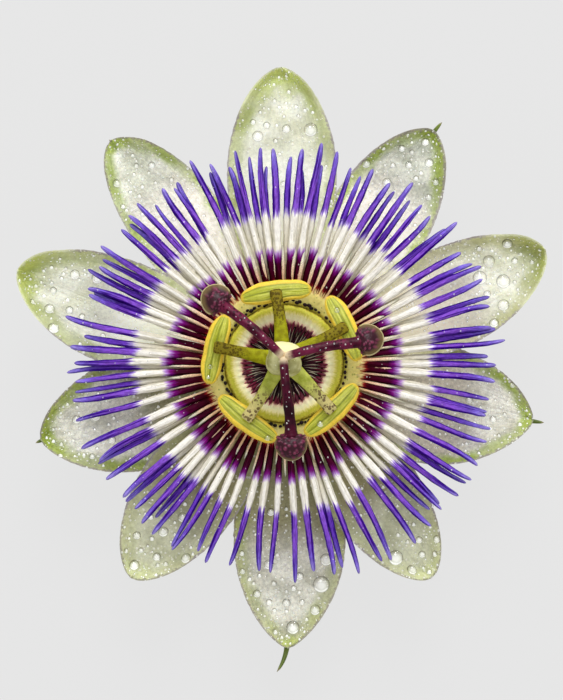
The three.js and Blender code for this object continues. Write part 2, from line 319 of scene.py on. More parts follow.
def turned(name: str, profile: Sequence[tuple[float, float]], steps: int) -> Piece:
    """Turns a profile round the flower's axis with the spin operator.

    Args:
        name: Name of the piece.
        profile: Points (radius, height) that start and end on the axis or close on themselves.
        steps: Number of steps in the full turn.

    Returns:
        The turned piece, in metres.
    """
    made = add_primitive(name, bpy.ops.mesh.primitive_plane_add, size=1.0)
    corner = Vector((0.5, 0.5, 0.0))
    with editing(made):
        pick_vertices(made, lambda place: not (place.x > 0 and place.y > 0))
        bpy.ops.mesh.delete(type="VERT")
        bpy.ops.mesh.select_all(action="SELECT")
        start = Vector((AXIS[0] + profile[0][0], AXIS[1], profile[0][1])) * MM
        bpy.ops.transform.translate(value=start - corner)
        for (near, low), (far, high) in zip(profile, profile[1:]):
            step = ((far - near) * MM, 0, (high - low) * MM)
            bpy.ops.mesh.extrude_region_move(TRANSFORM_OT_translate={"value": step})
        bpy.ops.mesh.select_all(action="SELECT")
        bpy.ops.mesh.spin(steps=steps, angle=TURN, center=Vector(AXIS) * MM, axis=(0, 0, 1))
    close_skin(made)
    return made


def rod(name: str, sides: int, steps: int, crowding: float = 1.0) -> Piece:
    """Extrudes a filled circle of radius 1 along X from 0 to 1.

    Args:
        name: Name of the rod.
        sides: Number of sides.
        steps: Number of stations, both ends counted.
        crowding: Over 1, it crowds the stations towards the end.

    Returns:
        The rod, a model for limbs that are copied from it and bent.
    """
    stations = (1 - (1 - np.linspace(0, 1, steps)) ** crowding).tolist()
    made = add_primitive(
        name, bpy.ops.mesh.primitive_circle_add,
        vertices=sides, radius=1.0, fill_type="NGON", rotation=(0, math.pi / 2, 0),
    )
    with editing(made, "FACE"):
        bpy.ops.mesh.select_all(action="SELECT")
        for here, there in zip(stations, stations[1:]):
            step = {"value": (there - here, 0, 0), "orient_type": "GLOBAL"}
            bpy.ops.mesh.extrude_region_move(TRANSFORM_OT_translate=step)
        bpy.ops.mesh.select_all(action="SELECT")
        bpy.ops.mesh.normals_make_consistent(inside=False)
    return made


def stamp(
    name: str, model: Piece, places: Sequence[np.ndarray], chances: Sequence[float] | float = 0.0,
) -> Piece:
    """Copies a model's mesh once for each set of places, all in one new mesh.

    The model itself is removed. Its X and Y are kept as the places along and across each copy.

    Args:
        name: Name of the new piece.
        model: The object whose faces are repeated.
        places: For each copy, the places of the model's vertices in millimetres.
        chances: Each copy's own number, or one for all.

    Returns:
        The new piece.
    """
    faces = [tuple(face.vertices) for face in model.data.polygons]
    size, copies = len(model.data.vertices), len(places)
    repeated = [
        tuple(corner + copy * size for corner in face) for copy in range(copies) for face in faces
    ]
    mesh = bpy.data.meshes.new(name)
    mesh.from_pydata((np.concatenate(places) * MM).tolist(), [], repeated)
    made = bpy.data.objects.new(name, mesh)
    bpy.context.scene.collection.objects.link(made)
    mesh.shade_smooth()
    along, across, _ = np.tile(read_points(model), (copies, 1)).T
    note_flow(made, along, across, np.repeat(np.broadcast_to(chances, copies), size))
    bpy.data.objects.remove(model, do_unlink=True)
    return made


def sweep(model: np.ndarray, centre: Path, wide: Path, tall: Path, twist: float = 0.0) -> np.ndarray:
    """Bends a straight rod along a path.

    Args:
        model: The rod's vertices: X from 0 to 1 along it, Y and Z on the unit circle.
        centre: Gives the path's points for shares from 0 to 1.
        wide: Gives the half-width for each share.
        tall: Gives the half-height for each share.
        twist: Turn of the section about the path at its end, in degrees.

    Returns:
        The bent rod's vertices, in millimetres.
    """
    share, across, above = model.T
    step = 1e-3
    ahead = centre(np.minimum(share + step, 1)) - centre(np.maximum(share - step, 0))
    ahead /= np.linalg.norm(ahead, axis=1)[:, None]
    sideways = np.cross(UP, ahead)
    sideways /= np.linalg.norm(sideways, axis=1)[:, None]
    upright = np.cross(ahead, sideways)
    turn = np.radians(twist) * share
    across = across * wide(share)
    above = above * tall(share)
    level = across * np.cos(turn) - above * np.sin(turn)
    raised = across * np.sin(turn) + above * np.cos(turn)
    return centre(share) + sideways * level[:, None] + upright * raised[:, None]


def limb(
    name: str, sides: int, steps: int, centre: Path, wide: Path, tall: Path, chance: float = 0.0,
) -> Piece:
    """Bends one rod into a piece of its own.

    Args:
        name: Name of the piece.
        sides: Number of its sides.
        steps: Number of stations along it.
        centre: The path's points.
        wide: The half-widths along it.
        tall: The half-heights along it.
        chance: The piece's own number.

    Returns:
        The piece.
    """
    straight = rod(f"{name}_rod", sides, steps)
    return stamp(name, straight, [sweep(read_points(straight), centre, wide, tall)], chance)


# Shader bench: short calls round the shader nodes

class Wire:
    """A value on its way through a shader tree, which is added and multiplied like a number."""

    def __init__(self, sketch: "Sketch", socket: Socket) -> None:
        """Keeps the tree's sketch and the socket that the value comes from."""
        self.sketch = sketch
        self.socket = socket

    def __add__(self, other: "Wire | float") -> "Wire":
        """Adds a value."""
        return self.sketch.math("ADD", self, other)

    def __sub__(self, other: "Wire | float") -> "Wire":
        """Takes a value away."""
        return self.sketch.math("SUBTRACT", self, other)

    def __rsub__(self, other: float) -> "Wire":
        """Takes this value away from a number."""
        return self.sketch.math("SUBTRACT", other, self)

    def __mul__(self, other: "Wire | float") -> "Wire":
        """Multiplies by a value."""
        return self.sketch.math("MULTIPLY", self, other)

    def __truediv__(self, other: "Wire | float") -> "Wire":
        """Divides by a value."""
        return self.sketch.math("DIVIDE", self, other)

    def ease(self, low: float, high: float) -> "Wire":
        """Climbs smoothly from 0 at low to 1 at high; low may lie above high.

        Args:
            low: Value that gives 0.
            high: Value that gives 1.

        Returns:
            The share from 0 to 1.
        """
        swap = low > high
        sockets = {
            "Value": self, "From Min": min(low, high), "From Max": max(low, high),
            "To Min": float(swap), "To Max": float(not swap),
        }
        return self.sketch.out("Result", "ShaderNodeMapRange", sockets, interpolation_type="SMOOTHSTEP")


class Sketch:
    """Lays out the nodes of one shader tree with short calls."""

    def __init__(self, tree: bpy.types.NodeTree) -> None:
        """Keeps the tree that the nodes go into."""
        self.tree = tree

    def feed(self, socket: Socket, value: object) -> None:
        """Links a wire into a socket, or sets the socket's plain value.

        Args:
            socket: The socket.
            value: A wire, a tint, a number or a vector.
        """
        if isinstance(value, Wire):
            self.tree.links.new(value.socket, socket)
        else:
            socket.default_value = linear(value) if isinstance(value, Tint) else value

    def node(self, kind: str, sockets: dict | None = None, **settings: object) -> bpy.types.Node:
        """Adds a node.

        Args:
            kind: The node's type.
            sockets: What its inputs are fed, by name or number.
            **settings: The node's own settings.

        Returns:
            The new node.
        """
        made = self.tree.nodes.new(kind)
        for key, value in settings.items():
            setattr(made, key, value)
        for key, value in (sockets or {}).items():
            self.feed(made.inputs[key], value)
        return made

    def out(self, output: int | str, kind: str, sockets: dict | None = None, **settings: object) -> Wire:
        """Adds a node and gives one of its outputs."""
        return Wire(self, self.node(kind, sockets, **settings).outputs[output])

    def math(self, operation: str, first: Wire | float, second: Wire | float = 0.0) -> Wire:
        """Adds a sum of one or two values and gives its result."""
        return self.out(0, "ShaderNodeMath", {0: first, 1: second}, operation=operation)

    def mix(self, share: Wire, first: Wire | Tint, second: Wire | Tint) -> Wire:
        """Mixes two colours by the share of the second."""
        return self.out(2, "ShaderNodeMix", {0: share, 6: first, 7: second}, data_type="RGBA")

    def lit(self, colour: Wire, shade: Wire) -> Wire:
        """Brightens or darkens a colour by a factor."""
        return self.out(0, "ShaderNodeVectorMath", {0: colour, 3: shade}, operation="SCALE")

    def ramp(self, value: Wire, stops: Sequence[Stop]) -> Wire:
        """Reads a colour from a scale of stops.

        Args:
            value: The value to look up.
            stops: Pairs (value, tint) in rising order.

        Returns:
            The colour.
        """
        low, high = stops[0][0], stops[-1][0]
        made = self.node("ShaderNodeValToRGB", {"Fac": (value - low) / (high - low)})
        points = made.color_ramp.elements
        while len(points) < len(stops):
            points.new(0.5)
        for point, (place, tint) in zip(points, stops):
            point.position = (place - low) / (high - low)
            point.color = linear(tint)
        return Wire(self, made.outputs["Color"])

    def place(self) -> Wire:
        """Gives the place on the object, in metres."""
        return self.out("Object", "ShaderNodeTexCoord")

    def value(self, name: str) -> Wire:
        """Gives an attribute that holds one number."""
        return self.out("Fac", "ShaderNodeAttribute", attribute_name=name)

    def flow(self) -> Wire:
        """Gives the places along and across the piece, and its own number."""
        return self.out("Vector", "ShaderNodeAttribute", attribute_name="flow")

    def parts(self, vector: Wire) -> list[Wire]:
        """Splits a vector into its three numbers."""
        return [Wire(self, part) for part in self.node("ShaderNodeSeparateXYZ", {0: vector}).outputs]

    def joined(self, *parts: Wire) -> Wire:
        """Joins two or three numbers into a vector."""
        return self.out(0, "ShaderNodeCombineXYZ", dict(enumerate(parts)))

    def length(self, side: Wire, ahead: Wire) -> Wire:
        """Gives the length of a plan vector."""
        return self.math("SQRT", side * side + ahead * ahead)

    def noise(self, vector: Wire, scale: Wire | float, detail: float = 2.0) -> Wire:
        """Gives soft noise from about 0.3 to 0.7."""
        return self.out(0, "ShaderNodeTexNoise", {"Vector": vector, "Scale": scale, "Detail": detail})

    def effect(self, effect: "Effect", *values: Wire | float) -> list[Wire]:
        """Places a shared effect with its own values, and gives its outputs.

        Args:
            effect: The effect.
            *values: What its inputs are fed, in their order.

        Returns:
            Its outputs.
        """
        placed = self.node("ShaderNodeGroup", node_tree=effect.tree())
        for socket, value in zip(placed.inputs, values):
            self.feed(socket, value)
        return [Wire(self, output) for output in placed.outputs]


@dataclass(frozen=True)
class Effect:
    """A shared effect: a node group that is built once and placed with its own values.

    The first input is a vector. The other inputs and all outputs are numbers.
    """

    name: str
    inputs: tuple[str, ...]
    outputs: tuple[str, ...]
    fill: Callable[..., tuple[Wire, ...]]

    def tree(self) -> bpy.types.NodeTree:
        """Finds the effect's node group, or builds it.

        Returns:
            The group.
        """
        found = bpy.data.node_groups.get(self.name)
        if found:
            return found
        tree = bpy.data.node_groups.new(self.name, "ShaderNodeTree")
        for name in self.inputs:
            kind = "NodeSocketVector" if name == self.inputs[0] else "NodeSocketFloat"
            tree.interface.new_socket(name=name, in_out="INPUT", socket_type=kind)
        for name in self.outputs:
            tree.interface.new_socket(name=name, in_out="OUTPUT", socket_type="NodeSocketFloat")
        sketch = Sketch(tree)
        given = sketch.node("NodeGroupInput").outputs
        made = self.fill(sketch, *(Wire(sketch, given[name]) for name in self.inputs))
        sketch.node("NodeGroupOutput", dict(zip(self.outputs, made)))
        return tree


def fill_mottle(sketch: Sketch, place: Wire, scale: Wire, depth: Wire) -> tuple[Wire, Wire]:
    """Blotches of living tissue.

    Args:
        sketch: The group's tree.
        place: The place on the object.
        scale: Blotches to the metre.
        depth: How far they lighten and darken.

    Returns:
        A shade round 1, and a height for bump.
    """
    both = sketch.noise(place, scale, 3.0) * 1.2 + sketch.noise(place, scale * 4.3, 2.0)
    return (both - 1.1) * depth + 1.0, both


def fill_speckle(sketch: Sketch, place: Wire, scale: Wire, share: Wire, size: Wire) -> tuple[Wire]:
    """Small round spots scattered over a surface.

    Args:
        sketch: The group's tree.
        place: The place on the object.
        scale: Spots to the metre.
        share: Share of the spots that are kept.
        size: Their size, as a share of their distance.

    Returns:
        The spots' mask.
    """
    cells = sketch.node("ShaderNodeTexVoronoi", {"Vector": place, "Scale": scale}).outputs
    chance, growth, _ = sketch.parts(Wire(sketch, cells["Color"]))
    inside = size * (growth + 0.5) - Wire(sketch, cells["Distance"])
    return (inside.ease(0.0, 0.12) * sketch.math("LESS_THAN", chance, share),)


def fill_streaks(sketch: Sketch, flow: Wire, along_scale: Wire, across_scale: Wire) -> tuple[Wire]:
    """Fine streaks that run lengthwise along a limb or blade.

    Args:
        sketch: The group's tree.
        flow: The places along and across the piece, and its own number.
        along_scale: Streaks along the piece.
        across_scale: Streaks across it.

    Returns:
        The streaks, from 0 to 1.
    """
    along, across, chance = sketch.parts(flow)
    place = sketch.joined(along * along_scale, across * across_scale, chance * 61.0)
    return (sketch.noise(place, 1.0, 3.0).ease(0.3, 0.7),)


MOTTLE = Effect("Mottle", ("Vector", "Scale", "Depth"), ("Shade", "Height"), fill_mottle)
SPECKLE = Effect("Speckle", ("Vector", "Scale", "Share", "Size"), ("Mask",), fill_speckle)
STREAKS = Effect("Streaks", ("Flow", "Along", "Across"), ("Value",), fill_streaks)


# Finishes

@dataclass(frozen=True)
class Finish:
    """A finish for one kind of surface; each kind paints its own colours."""

    name: str
    roughness: float = 0.5
    specular: float = 0.22
    flesh: float = 0.0
    flesh_depth: float = 0.5
    bump: float = 0.03

    def material(self) -> bpy.types.Material:
        """Makes the material, or gives the one made before under this name.

        Returns:
            The material.
        """
        found = bpy.data.materials.get(self.name)
        if found:
            return found
        made = bpy.data.materials.new(self.name)
        made.use_nodes = True
        shader = made.node_tree.nodes["Principled BSDF"]
        sketch = Sketch(made.node_tree)
        for socket, value in self.lay_out(sketch).items():
            sketch.feed(shader.inputs[socket], value)
        return made

    def lay_out(self, sketch: Sketch) -> dict[str, object]:
        """Lays out a tissue: painted, embossed and a little translucent.

        Args:
            sketch: The material's tree.

        Returns:
            What the Principled shader's sockets are fed.
        """
        colour, height = self.paint(sketch)
        relief = {"Strength": 1.0, "Distance": self.bump * MM, "Height": height}
        return {
            "Base Color": colour,
            "Normal": sketch.out(0, "ShaderNodeBump", relief),
            "Roughness": self.roughness,
            "Specular IOR Level": self.specular,
            "Subsurface Weight": self.flesh,
            "Subsurface Scale": self.flesh_depth * MM,
            "Subsurface Radius": (1.0, 0.8, 0.6),
            **self.paint_glow(sketch, colour),
        }

    def paint_glow(self, sketch: Sketch, colour: Wire) -> dict[str, object]:
        """Adds a painted glow; most kinds have none."""
        return {}

    def paint(self, sketch: Sketch) -> tuple[Wire, Wire]:
        """Lays out the colour and the height.

        Args:
            sketch: The material's tree.

        Returns:
            The colour, and the height for bump.
        """
        raise NotImplementedError


@dataclass(frozen=True)
class BladeFinish(Finish):
    """Upper face of a tepal: middle with painted glints, painted light and shade at the foot, green band
    inside a grey rim, green tip.
    """

    middle: Tint = "#e8e8dc"
    shaded: Tint = "#ced0b6"
    # foot: painted light and shade on the foot under the corona, lighter on the upper tepals and darker on
    # the lower ones
    foot: Tint = "#e2dece"
    painted_foot_span: tuple[float, float] = (10.0, 19.0)
    band: Tint = "#acb27a"
    band_far: float = 4.2
    band_strength: float = 0.8
    tip: Tint = "#a0aa5c"
    tip_far: float = 9.0
    tip_strength: float = 0.95
    rim: Tint = "#9c9698"
    rim_width: float = 0.42
    # rim tone near the tip; pale on the upper petals, where it is a painted highlight along the curled rim
    hem: Tint = "#96928c"
    grain: float = 0.34
    grain_scale: float = 1300.0
    # share of white specks: painted glints of fine water on the skin
    painted_glints: float = 0.5
    # how strong the painted glow on the foot is, which lightens the shade that the corona casts there
    painted_foot_glow: float = 0.3
    wander: float = 5.0

    def paint(self, sketch: Sketch) -> tuple[Wire, Wire]:
        """Paints by the distance from the rim and from the tip, broken up by noise.

        Args:
            sketch: The material's tree.

        Returns:
            The colour, and the height for bump.
        """
        place = sketch.place()
        edge, tipward = sketch.value("edge"), sketch.value("tipward")
        wander = (sketch.noise(place, 300.0, 4.0) - 0.5) * self.wander
        blotch = sketch.noise(place, 210.0, 4.0)
        shade, height = sketch.effect(MOTTLE, place, self.grain_scale, self.grain)
        veins = sketch.effect(STREAKS, sketch.flow(), 2.5, 13.0)[0]
        colour = sketch.mix(blotch.ease(0.4, 0.64), self.middle, self.shaded)
        # painted light and shade on the foot under the corona
        colour = sketch.mix((tipward + wander * 1.5).ease(*self.painted_foot_span), colour, self.foot)
        band = (edge + wander).ease(self.band_far, self.band_far * 0.35)
        patches = blotch.ease(0.6, 0.4) * 0.4 + 0.6
        colour = sketch.mix(band * patches * self.band_strength, colour, self.band)
        tip = (tipward + wander * 1.2).ease(self.tip_far, 1.0)
        colour = sketch.mix(tip * self.tip_strength, colour, self.tip)
        nibbled = edge + (height - 1.1) * 0.8
        worn = nibbled.ease(self.rim_width, self.rim_width * 0.3)
        # near the tip the rim takes the hem tone, a painted highlight on the upper petals
        rim = sketch.mix(tipward.ease(9.0, 6.0), self.rim, self.hem)
        colour = sketch.mix(worn * 0.9, colour, rim)
        toned = sketch.lit(colour, (veins * 0.08 + 0.96) * shade)
        # white specks: painted glints of fine water, which also roughen the bump
        specks = sketch.effect(SPECKLE, place, 1700.0, 0.45, 0.3)[0]
        with_glints = sketch.mix(specks * self.painted_glints, toned, "#fafaf2")
        return with_glints, height + specks * 1.5 + veins * 0.8

    def paint_glow(self, sketch: Sketch, colour: Wire) -> dict[str, object]:
        """Paints a glow on the foot: painted light that lightens the shade which the corona casts from above.

        Args:
            sketch: The material's tree.
            colour: The painted colour.

        Returns:
            What the emission sockets are fed.
        """
        near, far = self.painted_foot_span
        # painted glow, on the upper face of the foot only
        foot = sketch.value("tipward").ease(near + 2.0, far + 3.0)
        upper = 1.0 - sketch.value("under")
        return {
            "Emission Color": sketch.mix(foot * upper, BLACK, colour),
            "Emission Strength": self.painted_foot_glow,
        }


@dataclass(frozen=True)
class FilamentFinish(Finish):
    """A corona filament: bands of colour by the distance from the axis, streaked lengthwise."""

    core: tuple[Stop, ...] = ()
    # deep tone for the sides: partly the filament's own edge colour, partly painted shade on its rounded
    # sides
    flank_tone_and_shade: tuple[Stop, ...] = ()
    streak_shift: float = 0.8
    white_start: tuple[float, float] = (18.2, 19.4)
    white_end: tuple[float, float] = (24.4, 23.6)

    def paint(self, sketch: Sketch) -> tuple[Wire, Wire]:
        """Paints the bands in a light and a deep tone, mixed by streaks and along the flanks; the deep tone
        on the sides is partly the filament's own edge colour and partly painted shade on its rounded sides.

        Args:
            sketch: The material's tree.

        Returns:
            The colour, and the height for bump.
        """
        flow = sketch.flow()
        across = sketch.parts(flow)[1]
        streak = sketch.effect(STREAKS, flow, 3.0, 2.4)[0]
        fine = sketch.effect(STREAKS, flow, 30.0, 2.5)[0]
        spread = sketch.value("reach") + (streak - 0.5) * self.streak_shift
        side = sketch.math("ABSOLUTE", across) + (streak - 0.5) * 1.1
        core, flank_tone_and_shade = sketch.ramp(spread, self.core), sketch.ramp(spread, self.flank_tone_and_shade)
        # darker towards the sides: partly the filament's own edge colour, partly painted shade
        colour = sketch.mix(side.ease(0.25, 0.9), core, flank_tone_and_shade)
        white = spread.ease(*self.white_start) * spread.ease(*self.white_end)
        uneven = (fine - 0.48) * (0.5 - white * 0.32)
        # white specks: painted glints of fine water drops on the filament
        mist_glints = sketch.effect(SPECKLE, sketch.place(), 1500.0, 0.1, 0.13)[0]
        with_mist_glints = sketch.mix(mist_glints * 0.9, sketch.lit(colour, uneven + 1.0), "#f6ecfa")
        return with_mist_glints, fine + streak * 0.7 + mist_glints * 2.0


@dataclass(frozen=True)
class TissueFinish(Finish):
    """Green or cream tissue with blotches and dark specks."""

    light: Tint = "#bec878"
    dark: Tint = "#8c963c"
    speck: Tint = "#461e32"
    speck_share: float = 0.0
    speck_scale: float = 2600.0
    speck_size: float = 0.36
    speck_from: float = 0.0
    grain: float = 900.0
    depth: float = 0.25
    low_tone: Tint | None = None
    low_reach: tuple[float, float] = (0.0, 1.0)

    def paint(self, sketch: Sketch) -> tuple[Wire, Wire]:
        """Paints blotches, then the second tone along the piece, then the specks.

        Args:
            sketch: The material's tree.

        Returns:
            The colour, and the height for bump.
        """
        place = sketch.place()
        shade, height = sketch.effect(MOTTLE, place, self.grain, self.depth)
        blotch = sketch.noise(place, self.grain * 0.5).ease(0.35, 0.65)
        colour = sketch.mix(blotch, self.light, self.dark)
        along = sketch.parts(sketch.flow())[0]
        if self.low_tone:
            colour = sketch.mix(along.ease(*self.low_reach), colour, self.low_tone)
        colour = sketch.lit(colour, shade)
        if self.speck_share:
            spots = sketch.effect(SPECKLE, place, self.speck_scale, self.speck_share, self.speck_size)[0]
            grown = along.ease(self.speck_from - 0.05, self.speck_from + 0.3)
            colour = sketch.mix(spots * grown * 0.85, colour, self.speck)
        return colour, height


@dataclass(frozen=True)
class RadialFinish(Finish):
    """A round piece coloured by the distance from the axis, with rays that break up the bands."""

    stops: tuple[Stop, ...] = ()
    rays: float = 60.0
    ray_shift: float = 0.5
    speck: Tint = "#788228"
    speck_share: float = 0.0
    outside: Tint | None = None

    def paint(self, sketch: Sketch) -> tuple[Wire, Wire]:
        """Paints rings by the radius, which the rays push in and out.

        Args:
            sketch: The material's tree.

        Returns:
            The colour, and the height for bump.
        """
        place = sketch.place()
        centre = tuple((AXIS * MM).tolist())
        local = sketch.out(0, "ShaderNodeVectorMath", {0: place, 1: centre}, operation="SUBTRACT")
        right, up, _ = sketch.parts(local)
        radius = sketch.length(right, up) / MM
        angle = sketch.math("ARCTAN2", up, right) * (self.rays / TURN)
        jag = sketch.noise(sketch.joined(angle, radius * 0.35), 2.0) - 0.5
        colour = sketch.ramp(radius + jag * (self.ray_shift * 4), self.stops)
        if self.outside:
            colour = sketch.mix(sketch.value("under"), colour, self.outside)
        shade, height = sketch.effect(MOTTLE, place, 1100.0, 0.22)
        colour = sketch.lit(colour, shade)
        if self.speck_share:
            spots = sketch.effect(SPECKLE, place, 2400.0, self.speck_share, 0.34)[0]
            colour = sketch.mix(spots * 0.7, colour, self.speck)
        return colour, height + jag * 1.5


@dataclass(frozen=True)
class AntherFinish(Finish):
    """An anther: green back with dark furrows, partly painted shade, and yellow pollen along the rim."""

    back: Tint = "#b6ba28"
    pale: Tint = "#dede64"
    furrow_shade: Tint = "#6e7c0c"
    pollen: Tint = "#f4d242"

    def paint(self, sketch: Sketch) -> tuple[Wire, Wire]:
        """Paints the back, then its furrows and the pollen.

        Args:
            sketch: The material's tree.

        Returns:
            The colour, and the height for bump.
        """
        streak = sketch.effect(STREAKS, sketch.flow(), 3.5, 6.0)[0]
        shade, height = sketch.effect(MOTTLE, sketch.place(), 1000.0, 0.42)
        colour = sketch.mix(streak, self.back, self.pale)
        # darker in the furrows: partly the anther's own dark lines, partly painted shade in the grooves
        colour = sketch.mix(sketch.value("furrow_shade") * 0.8, colour, self.furrow_shade)
        colour = sketch.mix(sketch.value("pollen"), colour, self.pollen)
        return sketch.lit(colour, shade), height + streak


@dataclass(frozen=True)
class StigmaFinish(Finish):
    """A stigma: purple warts above and inside, an olive-tan rim on the outer side."""

    wart: Tint = "#7a2c4a"
    hollow: Tint = "#320216"
    rim: Tint = "#baac78"
    fold: Tint = "#6a5632"

    def paint(self, sketch: Sketch) -> tuple[Wire, Wire]:
        """Paints by the warts' height and the share of rim.

        Args:
            sketch: The material's tree.

        Returns:
            The colour, and the height for bump.
        """
        shade, height = sketch.effect(MOTTLE, sketch.place(), 2200.0, 0.35)
        rim = sketch.value("rim")
        colour = sketch.mix(sketch.value("wart"), self.hollow, self.wart)
        colour = sketch.mix(rim.ease(0.0, 0.5), colour, self.fold)
        colour = sketch.mix(rim.ease(0.55, 0.95), colour, self.rim)
        return sketch.lit(colour, shade), height


@dataclass(frozen=True)
class WaterFinish(Finish):
    """Water as it looks from above, made of painted light: a painted pool of light low in the drop, a painted
    highlight near its top, painted shade round its rim and on its upper part, and a painted glow.
    """

    # how strong the painted light in the middle is, and how strong the painted glow is
    strength: float = 0.54
    painted_glow: float = 0.22

    def lay_out(self, sketch: Sketch) -> dict[str, object]:
        """Paints painted light and shade on a drop by the place in it, clear where it neither brightens nor
        darkens.

        Args:
            sketch: The material's tree.

        Returns:
            What the Principled shader's sockets are fed.
        """
        ripple = sketch.noise(sketch.place(), 900.0, 1.0)
        side, ahead, filled = sketch.parts(sketch.flow())
        strength = filled + self.strength
        radius = sketch.length(side, ahead)
        # heart: painted light in the middle of the drop, then a painted pool of light low in it
        heart = sketch.length(side - 0.06, ahead + 0.16).ease(1.0, 0.2) * strength
        painted_light_crescent = radius.ease(0.5, 0.8) * ahead.ease(-0.1, -0.6) * (strength + 0.15)
        painted_light_pool = sketch.math("MAXIMUM", heart, painted_light_crescent) * radius.ease(0.98, 0.84)
        # painted highlight near the top of the drop
        painted_highlight = sketch.length(side + 0.05, ahead - 0.4).ease(0.2, 0.1)
        glow = sketch.math("MINIMUM", sketch.math("MAXIMUM", painted_light_pool, painted_highlight), 0.95)
        # ring and dark: painted shade round the rim and on the drop's upper part
        ring = radius.ease(0.72, 0.95) * ahead.ease(-1.5, 0.5) * 0.6
        dark = sketch.math("MAXIMUM", ring, ahead.ease(0.1, 0.8) * 0.22) * (1.0 - glow)
        cover = glow + dark
        bright = glow / sketch.math("MAXIMUM", cover, 0.01)
        white = sketch.mix(ripple, "#fffffa", "#fafcf6")
        # the dark colour is painted shade; the white colour and its emission are painted light
        return {
            "IOR": 1.333,
            "Roughness": ripple * 0.1,
            "Base Color": sketch.mix(bright, "#585640", white),
            "Emission Color": sketch.mix(bright, BLACK, white),
            "Emission Strength": self.painted_glow,
            "Alpha": cover * (1.0 - sketch.out("Backfacing", "ShaderNodeNewGeometry")),
        }


@dataclass(frozen=True)
class FloorFinish(Finish):
    """A pale even floor that glows a little, so that it stays bright under the flower."""

    def lay_out(self, sketch: Sketch) -> dict[str, object]:
        """Paints a faint drift over the floor, and gives what the shader is fed.

        Args:
            sketch: The material's tree.

        Returns:
            What the Principled shader's sockets are fed.
        """
        drift = sketch.noise(sketch.place(), 3.0)
        return {
            "Roughness": self.roughness,
            "Specular IOR Level": self.specular,
            "Base Color": sketch.mix(drift, "#404040", "#444444"),
            "Emission Color": sketch.mix(drift, "#dddddd", "#dedede"),
            "Emission Strength": 1.0,
        }


def dress(piece: Piece, finish: Finish, nodes: Sequence[str] = ()) -> None:
    """Gives a piece its finish, seats it on the flower's one body and reports it.

    Args:
        piece: The piece.
        finish: Its finish.
        nodes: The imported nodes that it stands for.
    """
    piece.data.materials.clear()
    piece.data.materials.append(finish.material())
    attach(piece, BODY)
    if nodes:
        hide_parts(*nodes)
    log.info("%s: %d faces", piece.name, len(piece.data.polygons))


# The flower's parts

class Whorl(Enum):
    """The two whorls of tepals, each with the height of its feet over the floor."""

    SEPAL = 10.65
    PETAL = 12.05


